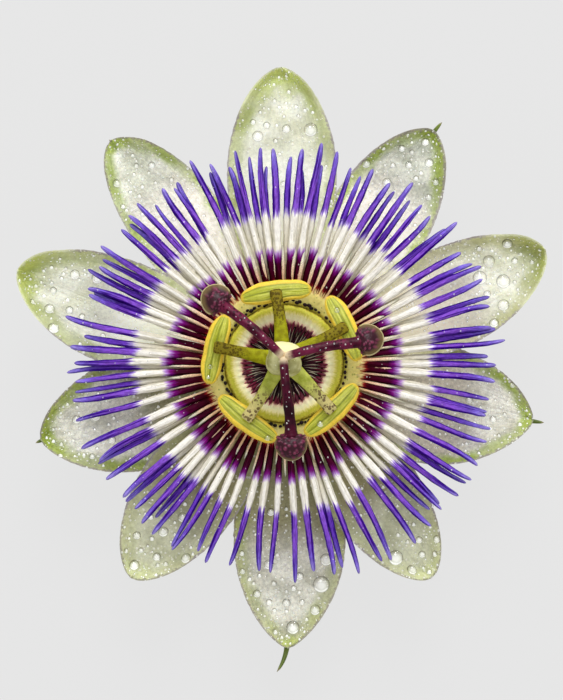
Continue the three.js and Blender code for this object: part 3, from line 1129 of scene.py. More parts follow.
@dataclass
class Tepal:
    """One petal or sepal: a blade with a round shoulder, a hooded tip and curled rims."""

    name: str
    whorl: Whorl
    finish: Finish
    angle: float
    reach: float
    half: float
    point: float
    bend: float
    lift: float
    rise: float
    roll: float
    hood: float = 0.5
    awn: float = 0.0
    hook: float = 0.0
    seed: int = 0
    foot: float = 12.3
    shoulder: float = 18.0
    narrowing: float = 0.42
    blunt: float = 0.3
    thickness: float = 0.45
    rim_thickness: float = 0.16
    keel: float = 0.5
    columns: int = 96
    rows: int = 56

    def half_at(self, out: np.ndarray) -> np.ndarray:
        """Gives the half-width of the blade.

        Args:
            out: Distances from the axis.

        Returns:
            The half-widths there.
        """
        from_tip = np.clip(self.reach - out, 0, None)
        near = np.clip(from_tip / self.shoulder, 0, 1)
        inward = np.clip((from_tip - self.shoulder) / (self.reach - self.shoulder - self.foot), 0, 1)
        rounded = self.half * (1 - (1 - near) ** 2) ** self.point
        return np.where(from_tip < self.shoulder, rounded, self.half * (1 - self.narrowing * inward**2))

    def edge_at(self, out: np.ndarray, across: np.ndarray) -> np.ndarray:
        """Gives the distance from the rim.

        Args:
            out: Distances from the axis.
            across: Places across the blade, from -1 to 1.

        Returns:
            The distances.
        """
        step = 0.05
        slope = (self.half_at(out + step) - self.half_at(out - step)) / (2 * step)
        beside = (1 - np.abs(across)) * self.half_at(out) / np.sqrt(1 + slope**2)
        return np.minimum(beside, np.clip(self.reach - out, 0, None))

    def surface(self, out: np.ndarray, across: np.ndarray) -> np.ndarray:
        """Gives points on the upper face.

        Args:
            out: Distances from the axis.
            across: Places across the blade, from -1 to 1.

        Returns:
            Points in the frame, in millimetres.
        """
        share = np.clip((out - self.foot) / (self.reach - self.foot), 0, 1)
        phases = np.random.RandomState(100 + self.seed).uniform(0, TURN, 3)
        edge, from_tip = self.edge_at(out, across), self.reach - out
        far = ease(0.3, 0.8, share)
        side = across * self.half_at(out) + self.bend * np.sin(np.pi * share)
        up = self.whorl.value + 0.2 + 0.5 * np.sin(np.pi * share) + self.lift * share**3
        tilt = (self.rise * across**2 + self.roll * across) * ease(-0.6, 4.0, from_tip)
        up = up + ease(0.45, 0.95, share) * tilt
        ripples = 0.22 * across**2 * np.sin(TURN * out / 9.5 + phases[0] + 1.5 * np.sign(across))
        ripples = ripples + 0.12 * np.sin(TURN * (out / 7.1 + 0.6 * across) + phases[1])
        ripples = ripples + 0.10 * np.sin(TURN * (1.4 * across - out / 15) + phases[2])
        up = up + far * (ripples + 0.35 * ease(1.6, 0.0, edge))
        up = up - 0.25 * hump(across, 0.12) * ease(1.0, 0.4, share) * ease(3.0, 12.0, from_tip)
        up = up + self.hood * ease(1.8, 0.1, edge) * ease(6.0, 1.5, from_tip)
        return polar(self.angle, out, side, up)

    def settle(self, plan: np.ndarray) -> tuple[np.ndarray, np.ndarray]:
        """Finds the places on the upper face that lie at places of the plan.

        Args:
            plan: Distances to the right of the axis and ahead of it, seen from above.

        Returns:
            The points, and their places along and across the blade.
        """
        cosine, sine = heading(self.angle)
        out = plan[:, 0] * cosine + plan[:, 1] * sine
        side = plan[:, 1] * cosine - plan[:, 0] * sine
        share = (out - self.foot) / (self.reach - self.foot)
        across = (side - self.bend * np.sin(np.pi * share)) / np.maximum(self.half_at(out), 0.01)
        return self.surface(out, across), np.stack([out, across], 1)

    def locate(self, right: float, up: float) -> tuple[np.ndarray, np.ndarray, float]:
        """Finds the place on the upper face that lies at a place of the plan.

        Args:
            right: Distance to the right of the axis, seen from above.
            up: Distance above the axis in that view.

        Returns:
            The point, the face's normal there, and the distance from the rim.
        """
        step = 0.1
        points, spots = self.settle(np.array([[right, up], [right + step, up], [right, up + step]]))
        normal = np.cross(points[1] - points[0], points[2] - points[0])
        out, across = spots[0]
        edge = float(self.edge_at(np.array(out), np.array(across))) if abs(across) < 1 else -1.0
        return points[0], normal / np.linalg.norm(normal), edge

    def model(self) -> Piece:
        """Shapes a grid into the blade and gives it its thickness.

        Returns:
            The blade.
        """
        blade = add_primitive(
            f"{self.name}_blade", bpy.ops.mesh.primitive_grid_add,
            x_subdivisions=self.columns, y_subdivisions=self.rows, size=2.0,
        )
        grid = read_points(blade)
        count = len(grid)
        along = (grid[:, 0] + 1) / 2
        across = 0.5 * grid[:, 1] + 0.5 * np.sin(grid[:, 1] * math.pi / 2)
        rounding = self.blunt * (0.1 + across**2)
        out = self.foot + (self.reach - rounding - self.foot) * (1 - (1 - along) ** 1.6)
        serrate = np.random.RandomState(self.seed).normal(0, 0.035, count)
        top = self.surface(out, across * (1 + np.where(np.abs(across) > 0.995, serrate / 9, 0)))
        write_points(blade, top)
        edge = self.edge_at(out, across)
        note_values(blade, "edge", edge)
        note_values(blade, "tipward", self.reach - out)
        note_flow(blade, along, across, self.seed / 10)
        apply_modifier(blade, "SOLIDIFY", thickness=self.thickness * MM, offset=-1.0)
        walls = read_points(blade) / MM
        depth = self.rim_thickness + (self.thickness - self.rim_thickness) * ease(0, 1.5, edge)
        if self.whorl is Whorl.SEPAL:
            depth = depth + self.keel * hump(across, 0.09) * ease(0.0, 0.3, along)
        walls[count:2 * count] = walls[:count]
        walls[count:2 * count, 2] -= depth
        write_points(blade, walls)
        note_values(blade, "under", (np.arange(len(walls)) >= count).astype(float))
        smooth_faces(blade)
        return blade

    def model_awn(self) -> Piece:
        """Bends a rod into the awn that runs out from under the sepal's tip.

        Returns:
            The awn.
        """
        inside, radius = 3.6, 0.62
        ridge = self.surface(self.reach - np.array([inside, self.blunt]), np.zeros(2))
        start, end = ridge[0, 2] - 0.75, ridge[1, 2] - 0.55

        def centre(share: np.ndarray) -> np.ndarray:
            """Runs under the tip and hooks aside past it.

            Args:
                share: Shares of its length.

            Returns:
                The points there.
            """
            out = self.reach - inside + (inside + self.awn) * share
            up = start + (end - start) * share - 0.35 * np.sin(np.pi * share)
            return polar(self.angle, out, self.hook * share**3, up)

        def thick(share: np.ndarray) -> np.ndarray:
            """Tapers to a rounded end."""
            return radius * (1 - 0.6 * share) * np.sqrt(np.clip(1 - share**10, 0.01, 1))

        return limb(f"{self.name}_awn", 10, 15, centre, thick, thick)


# The tepal finishes are partly lit and shaded copies: their foot tone and its glow are painted light and
# shade, lighter with a stronger painted glow on the upper tepals and darker with little glow on the lower
# ones; the left sepal's middle is painted lighter.
UPPER_PETAL = BladeFinish(
    "upper_petal_skin", roughness=0.4, flesh=0.25, flesh_depth=0.8, bump=0.05, middle="#e2e3d4",
    foot="#eceedc", band="#acb670", band_far=3.7, band_strength=0.95, tip="#b8c46c", tip_far=6.0,
    hem="#e2e6be", grain_scale=1900.0, grain=0.45, painted_glints=0.6, painted_foot_glow=0.4, wander=4.0,
)
RIGHT_PETAL = replace(
    UPPER_PETAL, name="right_petal_skin", middle="#eeeede", shaded="#d6d8bc", foot="#e2dcc6",
    band="#b0b280", band_far=3.4, tip="#a0aa60", tip_far=7.0, painted_foot_glow=0.42,
)
LOWER_PETAL = replace(
    UPPER_PETAL, name="lower_petal_skin", middle="#d2d4b8", shaded="#b6b896", foot="#a29c74",
    painted_foot_span=(12.0, 20.0), band="#babe8c", band_far=3.4, band_strength=0.6, painted_foot_glow=0.06, tip="#d0d6a2",
    tip_far=4.0, tip_strength=0.7, hem="#969484",
)
UPPER_SEPAL = BladeFinish(
    "upper_sepal_skin", roughness=0.38, flesh=0.25, flesh_depth=0.8, bump=0.07, middle="#d6d7ca",
    shaded="#b0b4a2", foot="#e2ded0", painted_foot_span=(8.0, 15.0), painted_foot_glow=0.53, wander=3.0, band="#98aa4a",
    band_far=2.8, band_strength=0.95, tip="#96a842", tip_far=2.8, rim="#a49e9e", rim_width=0.6, grain=0.75,
    grain_scale=1900.0, painted_glints=0.8,
)
LEFT_SEPAL = replace(
    UPPER_SEPAL, name="left_sepal_skin", middle="#f4f4e8", shaded="#d4d6c4", band="#a4b660", band_far=2.8,
    rim="#aaaa9e", rim_width=0.36, tip="#acbe60",
)
RIGHT_SEPAL = replace(
    UPPER_SEPAL, name="right_sepal_skin", middle="#e4e2d6", shaded="#bebca8", foot="#cec8b4",
    painted_foot_glow=0.16, rim_width=0.42, band="#a0b44c", band_far=2.4, tip="#a8b85c",
)
LOWER_SEPAL = replace(
    UPPER_SEPAL, name="lower_sepal_skin", middle="#e8e7da", shaded="#c4c3b2", foot="#a4a07a",
    painted_foot_span=(14.0, 22.0), band="#a8b06a", band_far=3.4, band_strength=0.8, tip="#bcc870", tip_far=2.6,
    tip_strength=0.8, rim="#9a968c", painted_foot_glow=0.06, rim_width=0.42,
)
WEST_SEPAL = replace(
    LOWER_SEPAL, name="west_sepal_skin", band="#92a23e", band_far=3.2, band_strength=0.95, tip="#96a842",
    tip_far=3.0, tip_strength=0.9, painted_foot_glow=0.12,
)
AWN_FINISH = TissueFinish(
    "awn_skin", roughness=0.45, light="#78883a", dark="#526222", low_tone="#8c8460", low_reach=(0.88, 0.98),
)


@dataclass
class Perianth:
    """The ten tepals, the outer whorl of sepals under the inner whorl of petals.

    A row gives a tepal's name, whorl and finish, then its angle, reach, half-width, point, bend,
    lift, rise and roll.
    """

    petals: tuple[Tepal, ...] = (
        Tepal("petal_1", Whorl.PETAL, UPPER_PETAL, 90.6, 49.9, 9.2, 0.63, 0.0, 1.2, 1.3, 0.1,
              seed=1, blunt=0.14),
        Tepal("petal_2", Whorl.PETAL, UPPER_PETAL, 160.9, 47.0, 8.9, 0.62, 0.8, 1.6, 1.4, -0.7,
              seed=2, hood=1.4),
        Tepal("petal_3", Whorl.PETAL, LOWER_PETAL, 234.4, 43.7, 8.6, 0.62, -0.4, -0.6, 0.9, 0.2,
              seed=3),
        Tepal("petal_4", Whorl.PETAL, LOWER_PETAL, 304.6, 43.2, 7.9, 0.6, 0.0, -0.8, 0.9, 0.3,
              seed=4),
        Tepal("petal_5", Whorl.PETAL, RIGHT_PETAL, 23.2, 47.4, 8.6, 0.62, -0.7, 1.9, 1.3, 0.7,
              seed=5, hood=1.4),
    )
    sepals: tuple[Tepal, ...] = (
        Tepal("sepal_1", Whorl.SEPAL, UPPER_SEPAL, 57.4, 46.8, 8.6, 0.65, -0.3, 1.4, 1.6, 0.1,
              seed=6, awn=1.9, hook=-0.4),
        Tepal("sepal_2", Whorl.SEPAL, LEFT_SEPAL, 127.6, 47.5, 7.8, 0.6, -0.5, 2.0, 1.8, -0.1,
              seed=7, awn=0.3, hook=0.2),
        Tepal("sepal_3", Whorl.SEPAL, WEST_SEPAL, 197.2, 42.5, 9.8, 0.68, 0.4, 0.9, 1.6, 0.3,
              seed=8, awn=0.9, hook=0.3),
        Tepal("sepal_4", Whorl.SEPAL, LOWER_SEPAL, 270.8, 47.2, 9.3, 0.74, 0.5, -0.3, 1.1, 0.0,
              seed=9, awn=3.8, hook=-1.9),
        Tepal("sepal_5", Whorl.SEPAL, RIGHT_SEPAL, 347.1, 42.6, 10.2, 0.7, -0.8, 1.0, 1.6, -0.3,
              seed=10, awn=1.8, hook=0.2),
    )

    def build(self) -> None:
        """Models and dresses every tepal and every awn."""
        for tepal in self.petals:
            dress(tepal.model(), tepal.finish, [tepal.name])
        for tepal in self.sepals:
            dress(tepal.model(), tepal.finish, [tepal.name])
            dress(tepal.model_awn(), AWN_FINISH)

    def named(self, name: str) -> Tepal:
        """Finds a tepal by its name."""
        return next(tepal for tepal in (*self.petals, *self.sepals) if tepal.name == name)


CREAM = "#dece8c"
MAROON = "#36000c"
WHITE = "#f6f2ea"
VIOLET = "#8252c6"
DEEP_VIOLET = "#34087c"
LAVENDER = "#9280d8"

INNER_FINISH = FilamentFinish(
    "inner_filament_skin", roughness=0.4, specular=0.02, bump=0.06,
    core=(
        (11.0, CREAM), (12.9, CREAM), (13.4, "#8c1e22"), (13.9, MAROON), (16.8, "#460028"),
        (17.8, "#781078"), (18.5, "#aa78c8"), (19.2, WHITE), (24.0, WHITE), (24.6, "#b096de"),
        (25.1, VIOLET), (29.0, "#824ec6"), (32.6, "#7250c0"), (34.4, "#7a62cc"), (35.8, LAVENDER),
        (38.0, "#a89ce2"),
    ),
    flank_tone_and_shade=(
        (11.0, "#ceb864"), (12.7, "#d69668"), (13.3, "#8c1e18"), (13.8, "#280002"), (17.2, "#22000e"),
        (18.1, "#540460"), (18.9, "#b088c4"), (19.5, "#d4ceb8"), (23.8, "#d2ccbe"), (24.4, "#825ac4"),
        (24.9, DEEP_VIOLET), (33.4, DEEP_VIOLET), (35.6, "#4c309c"), (38.0, "#7866be"),
    ),
)
OUTER_FINISH = FilamentFinish(
    "outer_filament_skin", roughness=0.42, specular=0.02, bump=0.06,
    core=(
        (11.0, CREAM), (15.5, "#e4cea0"), (18.5, "#e8e0c8"), (23.6, "#eae6da"), (24.5, "#a892d6"),
        (25.3, "#6c3ebc"), (30.0, "#683eba"), (33.0, "#7862ce"), (37.0, "#9c8eda"),
    ),
    flank_tone_and_shade=(
        (11.0, "#c4b468"), (14.0, "#cc9670"), (17.5, "#ceb496"), (20.0, "#d0cab6"), (23.4, "#cec8bc"),
        (24.4, "#643eb0"), (25.1, "#2c0274"), (32.0, "#320e7c"), (37.0, "#604caa"),
    ),
)
FILLER_FINISH = FilamentFinish(
    "pale_filament_skin", roughness=0.45, flesh=0.1, flesh_depth=0.3, bump=0.05,
    core=(
        (11.0, CREAM), (12.5, "#f0de96"), (14.0, "#ecc496"), (16.5, "#f0dcbe"), (19.0, "#e8e4d0"),
        (22.0, "#d4d4c0"),
    ),
    flank_tone_and_shade=(
        (11.0, "#d6c46e"), (13.5, "#eaa882"), (16.0, "#eebea6"), (18.0, "#e8dec4"), (22.0, "#ceccb8"),
    ),
)


@dataclass(frozen=True)
class CoronaRow:
    """One row of long filaments, all bent from one straight model."""

    name: str
    node: str
    finish: Finish
    seed: int
    root: float
    near: float
    far: float
    height: float
    arch: float
    lean: float
    widths: tuple[tuple[float, float], ...]
    offset: float = 0.0
    slots: int = FILAMENT_SLOTS
    crowds: tuple[int, ...] = ()
    stands_in: bool = True
    flatness: float = 0.62
    band_shift: tuple[float, float] = (-0.5, 0.6)
    hook: float = 0.7
    slimmer: float = 0.1
    shorter: float = 0.0
    violet_shift: float = 0.45
    waviness: float = 1.0
    sides: int = 10
    steps: int = 30

    def build(self) -> list[Path]:
        """Bends one copy of the model for each filament and joins them in one piece.

        Returns:
            The path of each filament's upper ridge, for the water that sits there.
        """
        straight = rod(f"{self.name}_rod", self.sides, self.steps, 1.35)
        model = read_points(straight)
        along = model[:, 0]
        draw, chance = Draws(self.seed), np.random.RandomState(self.seed)
        places, reaches, chances, ridges = [], [], [], []
        for turn in self.turns():
            angle = turn + 0.45 * (draw() - 0.5) / self.slots * 360
            reach = self.near + (self.far - self.near) * draw()
            lean = self.lean * (draw() - 0.5)
            climb = self.arch * (0.9 + 0.2 * draw())
            sway, phase, swell, hook = chance.uniform([-0.25, 0, 0.88, -1], [0.25, 1, 1.12, 1])
            upward = heading(angle)[1]
            below = max(0.0, -upward)
            reach -= self.shorter * below
            swell *= 1 - self.slimmer * below
            centre = self.path(angle, reach, lean, climb, sway * self.waviness, phase, hook * self.hook)
            wide, tall = self.thickness(swell, chance.uniform(0, 1))
            places.append(sweep(model, centre, wide, tall, chance.uniform(-35, 35)))
            ridges.append(self.ridge(centre, tall))
            out = self.root + (reach - self.root) * along
            tip_shift = (self.far - reach) * ease(0.6, 1.0, along)
            shift = self.band_shift[0] + self.band_shift[1] * upward
            shift = shift * (1 - 0.8 * ease(19.5, 23.5, out))
            shift = shift - self.violet_shift * upward**2 * ease(20.0, 23.5, out)
            reaches.append(out + tip_shift + (shift + chance.normal(0, 0.45)) * ease(13.5, 17.0, out))
            chances.append(chance.uniform())
        piece = stamp(self.name, straight, places, chances)
        note_values(piece, "reach", np.concatenate(reaches))
        dress(piece, self.finish, [self.node] if self.stands_in else [])
        return ridges

    def turns(self) -> list[float]:
        """Chooses the filaments' directions.

        Returns:
            All the slots' angles, or as many in each twelfth of the turn as crowds says.
        """
        angles = (np.arange(self.slots) + self.offset) / self.slots * 360
        if not self.crowds:
            return angles.tolist()
        twelfth = (angles + 15) // 30 % 12
        favour = np.random.RandomState(self.seed + 7).uniform(0, 1, self.slots)
        return sorted(
            angle for part, wanted in enumerate(self.crowds)
            for angle in angles[twelfth == part][np.argsort(favour[twelfth == part])[:wanted]]
        )

    def path(
        self, angle: float, reach: float, lean: float, climb: float, sway: float, phase: float, hook: float,
    ) -> Path:
        """Makes one filament's centre line, arched and a little wavy.

        Args:
            angle: Its direction.
            reach: Distance of its tip from the axis.
            lean: How far it leans aside.
            climb: How high it arches.
            sway: How far it swings from side to side.
            phase: Where the swing starts, in turns.
            hook: How far its tip turns aside.

        Returns:
            The path from the ring to the tip.
        """
        def centre(share: np.ndarray) -> np.ndarray:
            """Gives the points for shares of the path.

            Args:
                share: Shares of its length.

            Returns:
                The points there.
            """
            side = lean * share**2 + sway * wave(1.2 * share + phase) * share + hook * share**8
            up = self.height + climb * np.sin(2 * share) + 0.12 * sway * wave(2 * share + phase)
            return polar(angle, self.root + (reach - self.root) * share, side, up)

        return centre

    def thickness(self, swell: float, phase: float) -> tuple[Path, Path]:
        """Makes one filament's thickness, uneven like grown tissue.

        Args:
            swell: How thick it is, as a share of the row's widths.
            phase: Where its unevenness starts, in turns.

        Returns:
            The half-widths and the half-heights along it.
        """
        shares, halves = np.array(self.widths).T

        def wide(share: np.ndarray) -> np.ndarray:
            """Follows the row's widths and rounds off the tip."""
            bumps = 1 + 0.05 * wave(5 * share + phase) + 0.03 * wave(11 * share + 2 * phase)
            return np.interp(share, shares, halves) * swell * bumps * np.sqrt(np.clip(1 - share**70, 0.03, 1))

        return wide, lambda share: self.flatness * wide(share)

    def ridge(self, centre: Path, tall: Path) -> Path:
        """Makes the path along the top of a filament.

        Args:
            centre: The filament's centre line.
            tall: Its half-height for each share.

        Returns:
            The path of its upper ridge.
        """
        def top(share: np.ndarray) -> np.ndarray:
            """Lies one half-height over the centre line.

            Args:
                share: Shares of its length.

            Returns:
                The points there.
            """
            place = centre(share)
            place[:, 2] += tall(share) * 0.9
            return place

        return top


SEAT_FINISH = RadialFinish(
    "seat_skin", roughness=0.5, flesh=0.15, flesh_depth=0.5, bump=0.06,
    stops=(
        (10.0, "#cec256"), (10.8, "#eae088"), (12.2, "#e8da82"), (13.0, "#e0c47c"), (14.0, "#d4be7a"),
    ),
    rays=120.0, ray_shift=0.25, speck="#969e3c", speck_share=0.25,
)
HEAD_FINISH = TissueFinish(
    "dark_head_skin", roughness=0.35, specular=0.15, light="#220c14", dark="#0e0408", bump=0.02,
)
OPERCULUM_FINISH = RadialFinish(
    "operculum_skin", roughness=0.42, flesh=0.12, flesh_depth=0.4, bump=0.04,
    stops=(
        (6.0, "#822840"), (6.6, "#ce7e82"), (7.05, "#f8debe"), (7.6, "#feface"), (8.25, "#faf2b4"),
        (8.6, "#e2da74"), (8.95, "#c2be3a"), (9.35, "#d0ce40"), (9.6, "#ded654"), (9.85, "#b0a032"),
    ),
    rays=96.0, ray_shift=0.3,
)
FLAME_FINISH = TissueFinish(
    "flame_skin", roughness=0.4, light="#701434", dark="#480620", bump=0.02, low_tone="#c47880",
    low_reach=(0.26, 0.04),
)
THREAD_FINISH = TissueFinish(
    "dark_thread_skin", roughness=0.4, light="#3c081e", dark="#16000c", bump=0.02,
)
PALE_THREAD_FINISH = TissueFinish(
    "pale_thread_skin", roughness=0.4, light="#cec4ac", dark="#968c78", bump=0.02, low_tone="#6e5458",
    low_reach=(0.75, 1.0),
)


@dataclass
class Corona:
    """Both rows of long filaments on their seat, and the ring of short dark heads."""

    inner: CoronaRow = CoronaRow(
        "inner_filaments", "corona_inner", INNER_FINISH, seed=11,
        root=12.0, near=34.2, far=37.2, height=14.6, arch=2.2, lean=1.5,
        widths=((0, 0.36), (0.05, 0.54), (0.15, 0.63), (0.32, 0.66), (0.45, 0.65), (0.56, 0.59),
                (0.8, 0.54), (0.93, 0.44), (1, 0.34)),
    )
    outer: CoronaRow = CoronaRow(
        "outer_filaments", "corona_outer", OUTER_FINISH, seed=23,
        root=12.6, near=32.4, far=36.2, height=13.9, arch=2.0, lean=0.9,
        widths=((0, 0.4), (0.2, 0.5), (0.5, 0.58), (0.75, 0.54), (0.92, 0.42), (1, 0.32)),
        offset=0.5, crowds=(3, 3, 3, 5, 4, 4, 4, 2, 2, 0, 2, 3),
    )
    filler: CoronaRow = CoronaRow(
        "pale_filaments", "corona_outer", FILLER_FINISH, seed=47,
        root=12.2, near=19.0, far=22.0, height=14.45, arch=1.35, lean=0.4,
        widths=((0, 0.26), (0.3, 0.27), (0.6, 0.29), (0.85, 0.22), (1, 0.12)),
        offset=0.5, stands_in=False, hook=0.15, waviness=0.35, slimmer=0.4, shorter=2.5, sides=8, steps=22,
    )
    heads: int = 92
    head_ring: float = 10.35
    head_size: float = 0.3
    head_height: float = 14.45

    def build(self) -> list[Path]:
        """Models the rows, their seat and the dark heads.

        Returns:
            The upper ridges of the inner filaments.
        """
        ridges = self.inner.build()
        self.outer.build()
        self.filler.build()
        self.build_seat()
        self.build_heads()
        return ridges

    def build_seat(self) -> None:
        """Turns the low ring that both rows grow from, ribbed by their roots."""
        seat = turned("corona_seat", (
            (9.95, 12.6), (9.95, 13.9), (10.4, 14.2), (10.9, 14.35), (11.6, 14.75), (12.4, 14.95),
            (13.1, 14.8), (13.6, 14.2), (13.7, 13.0), (12.0, 12.6), (9.95, 12.6),
        ), 4 * FILAMENT_SLOTS)
        points, radius, angle = read_round(seat)
        ribs = 0.1 * np.cos(FILAMENT_SLOTS * angle) * ease(11.2, 12.6, radius)
        lumps = 0.05 * np.sin(23 * angle + 1.3) + 0.04 * np.sin(41 * angle)
        points[:, 2] += (ribs + lumps) * ease(13.4, 13.9, points[:, 2])
        write_points(seat, points + AXIS)
        smooth_faces(seat, ROUND_CREASE)
        dress(seat, SEAT_FINISH)

    def build_heads(self) -> None:
        """Shapes one head from a sphere and copies it round the ring."""
        head = add_primitive(
            "head_model", bpy.ops.mesh.primitive_uv_sphere_add, segments=8, ring_count=6, radius=1.0,
        )
        with editing(head):
            pick_vertices(head, lambda place: place.z < -0.2)
            bpy.ops.transform.resize(value=(0.5, 0.5, 1.6), center_override=(0, 0, 0))
        model = read_points(head)
        chance = np.random.RandomState(5)
        places = []
        for index in range(self.heads):
            if chance.uniform() < 0.08:
                continue
            angle = (index + 0.7 * (chance.uniform() - 0.5)) / self.heads * 360
            size = self.head_size * chance.uniform(0.75, 1.2)
            out = self.head_ring + chance.normal(0, 0.13)
            shape = model * size * [0.95, 1.2, 0.9]
            lift = self.head_height + chance.normal(0, 0.06)
            places.append(polar(angle, out + shape[:, 0], shape[:, 1], lift + shape[:, 2]))
        dress(stamp("dark_head_ring", head, places), HEAD_FINISH, ["short_filaments"])


@dataclass(frozen=True)
class Threads:
    """One layer of the fringe: strands that hang inward from the operculum."""

    name: str
    finish: Finish
    seed: int
    foot: float
    tip: float
    half: float
    lift: float = 0.0
    offset: float = 0.0
    strands: int = 66

    def build(self) -> None:
        """Bends one copy of a straight strand after the other round the ring."""
        straight = rod(f"{self.name}_rod", 6, 10)
        model = read_points(straight)
        chance = np.random.RandomState(self.seed)
        places = []
        for index in range(self.strands):
            angle = (index + self.offset + 0.4 * (chance.uniform() - 0.5)) / self.strands * 360
            start = self.foot + chance.uniform(-0.35, 0.35)
            end = self.tip + chance.uniform(0, 0.8)
            bend = chance.normal(0, 0.12)
            size = self.half * chance.uniform(0.75, 1.2)

            def centre(share: np.ndarray) -> np.ndarray:
                """Runs inward and down into the cup.

                Args:
                    share: Shares of its length.

                Returns:
                    The points there.
                """
                out = start + (end - start) * share
                sink = np.clip((7.4 - out) / 4.6, 0, None)
                up = 13.85 + self.lift - 2.6 * sink**1.5
                return polar(angle, out, bend * np.sin(np.pi * share), up)

            def wide(share: np.ndarray) -> np.ndarray:
                """Starts pointed at the foot, is widest early and tapers inward."""
                return size * np.interp(share, [0, 0.3, 0.6, 1], [0.12, 0.85, 1.0, 0.4])

            places.append(sweep(model, centre, wide, wide))
        dress(stamp(self.name, straight, places), self.finish)


@dataclass
class Operculum:
    """The yellow-green ring inside the corona, pleated on its inner slope, and its fringe."""

    pleats: int = 48
    fringe: tuple[Threads, ...] = (
        Threads("fringe_flames", FLAME_FINISH, seed=31, foot=7.35, tip=5.0, half=0.27),
        Threads("dark_threads", THREAD_FINISH, seed=33, foot=5.7, tip=2.7, half=0.19, lift=0.03),
        Threads("pale_threads", PALE_THREAD_FINISH, seed=32, foot=6.3, tip=2.9, half=0.07,
                lift=0.1, offset=0.5),
    )

    def build(self) -> None:
        """Turns the ring, pleats it and hangs the fringe from its inner edge."""
        ring = turned("operculum_ring", (
            (6.5, 12.9), (7.2, 13.1), (8.4, 13.2), (9.8, 13.1), (9.9, 13.7), (9.7, 14.2), (9.3, 14.5),
            (8.8, 14.55), (8.3, 14.4), (7.9, 14.1), (7.5, 13.95), (7.0, 13.75), (6.5, 13.4), (6.5, 12.9),
        ), 6 * self.pleats)
        points, radius, angle = read_round(ring)
        folds = 0.12 * np.cos(self.pleats * angle) * ease(8.3, 7.4, radius)
        waver = 0.05 * np.sin(7 * angle + 0.8) + 0.04 * np.sin(17 * angle)
        points[:, 2] += folds + waver
        write_points(ring, points + AXIS)
        smooth_faces(ring, ROUND_CREASE)
        dress(ring, OPERCULUM_FINISH, ["operculum"])
        for threads in self.fringe:
            threads.build()


CUP_FINISH = RadialFinish(
    "cup_skin", roughness=0.5, bump=0.05,
    stops=(
        (0.0, "#463c1e"), (3.0, "#280e14"), (8.6, "#3a181e"), (9.4, "#96a050"), (12.0, "#a8b468"),
    ),
    rays=40.0, ray_shift=0.1, outside="#a8b468",
)
COLUMN_FINISH = TissueFinish(
    "column_skin", roughness=0.45, flesh=0.15, light="#b0b87a", dark="#828a4e", speck_share=0.3,
    speck="#544632", bump=0.04,
)
# its cream low tone is painted light on the ovary's upper shoulder that faces the key light
OVARY_FINISH = TissueFinish(
    "ovary_skin", roughness=0.4, flesh=0.2, light="#d0ce96", dark="#989454", speck="#e4e2be",
    speck_share=0.35, speck_scale=2000.0, speck_size=0.3, speck_from=-1.0, bump=0.05, low_tone="#f8eeb4",
    low_reach=(0.1, 0.8),
)
STALK_FINISH = TissueFinish(
    "stalk_skin", roughness=0.5, light="#8c9c4c", dark="#687a34", bump=0.05,
)
UPPER_STAMEN_FINISH = TissueFinish(
    "upper_stamen_skin", roughness=0.42, specular=0.08, light="#a8a816", dark="#888404", low_tone="#867818",
    low_reach=(0.35, 0.75), grain=2400.0, depth=0.45, speck="#504006", speck_share=0.85, speck_scale=2600.0,
    speck_size=0.6, speck_from=0.35, bump=0.08,
)
LOWER_STAMEN_FINISH = TissueFinish(
    "lower_stamen_skin", roughness=0.42, light="#bec454", dark="#969e2e", low_tone="#ccbe78",
    low_reach=(0.35, 0.85), grain=1800.0, depth=0.45, speck="#543818", speck_share=0.8, speck_scale=2200.0,
    speck_size=0.52, speck_from=0.35, bump=0.08,
)
ANTHER_FINISH = AntherFinish("anther_skin", roughness=0.4, bump=0.06)
STYLE_FINISH = TissueFinish(
    "style_skin", roughness=0.35, specular=0.1, light="#701e3e", dark="#3e021c", low_tone="#e2ceaa",
    low_reach=(0.12, 0.03), speck="#280012", speck_share=0.5, speck_scale=1800.0, speck_size=0.42,
    bump=0.07,
)
LOWER_STYLE_FINISH = replace(
    STYLE_FINISH, name="lower_style_skin", light="#480622", dark="#22000c",
)
STIGMA_FINISH = StigmaFinish("stigma_skin", roughness=0.35, bump=0.04)


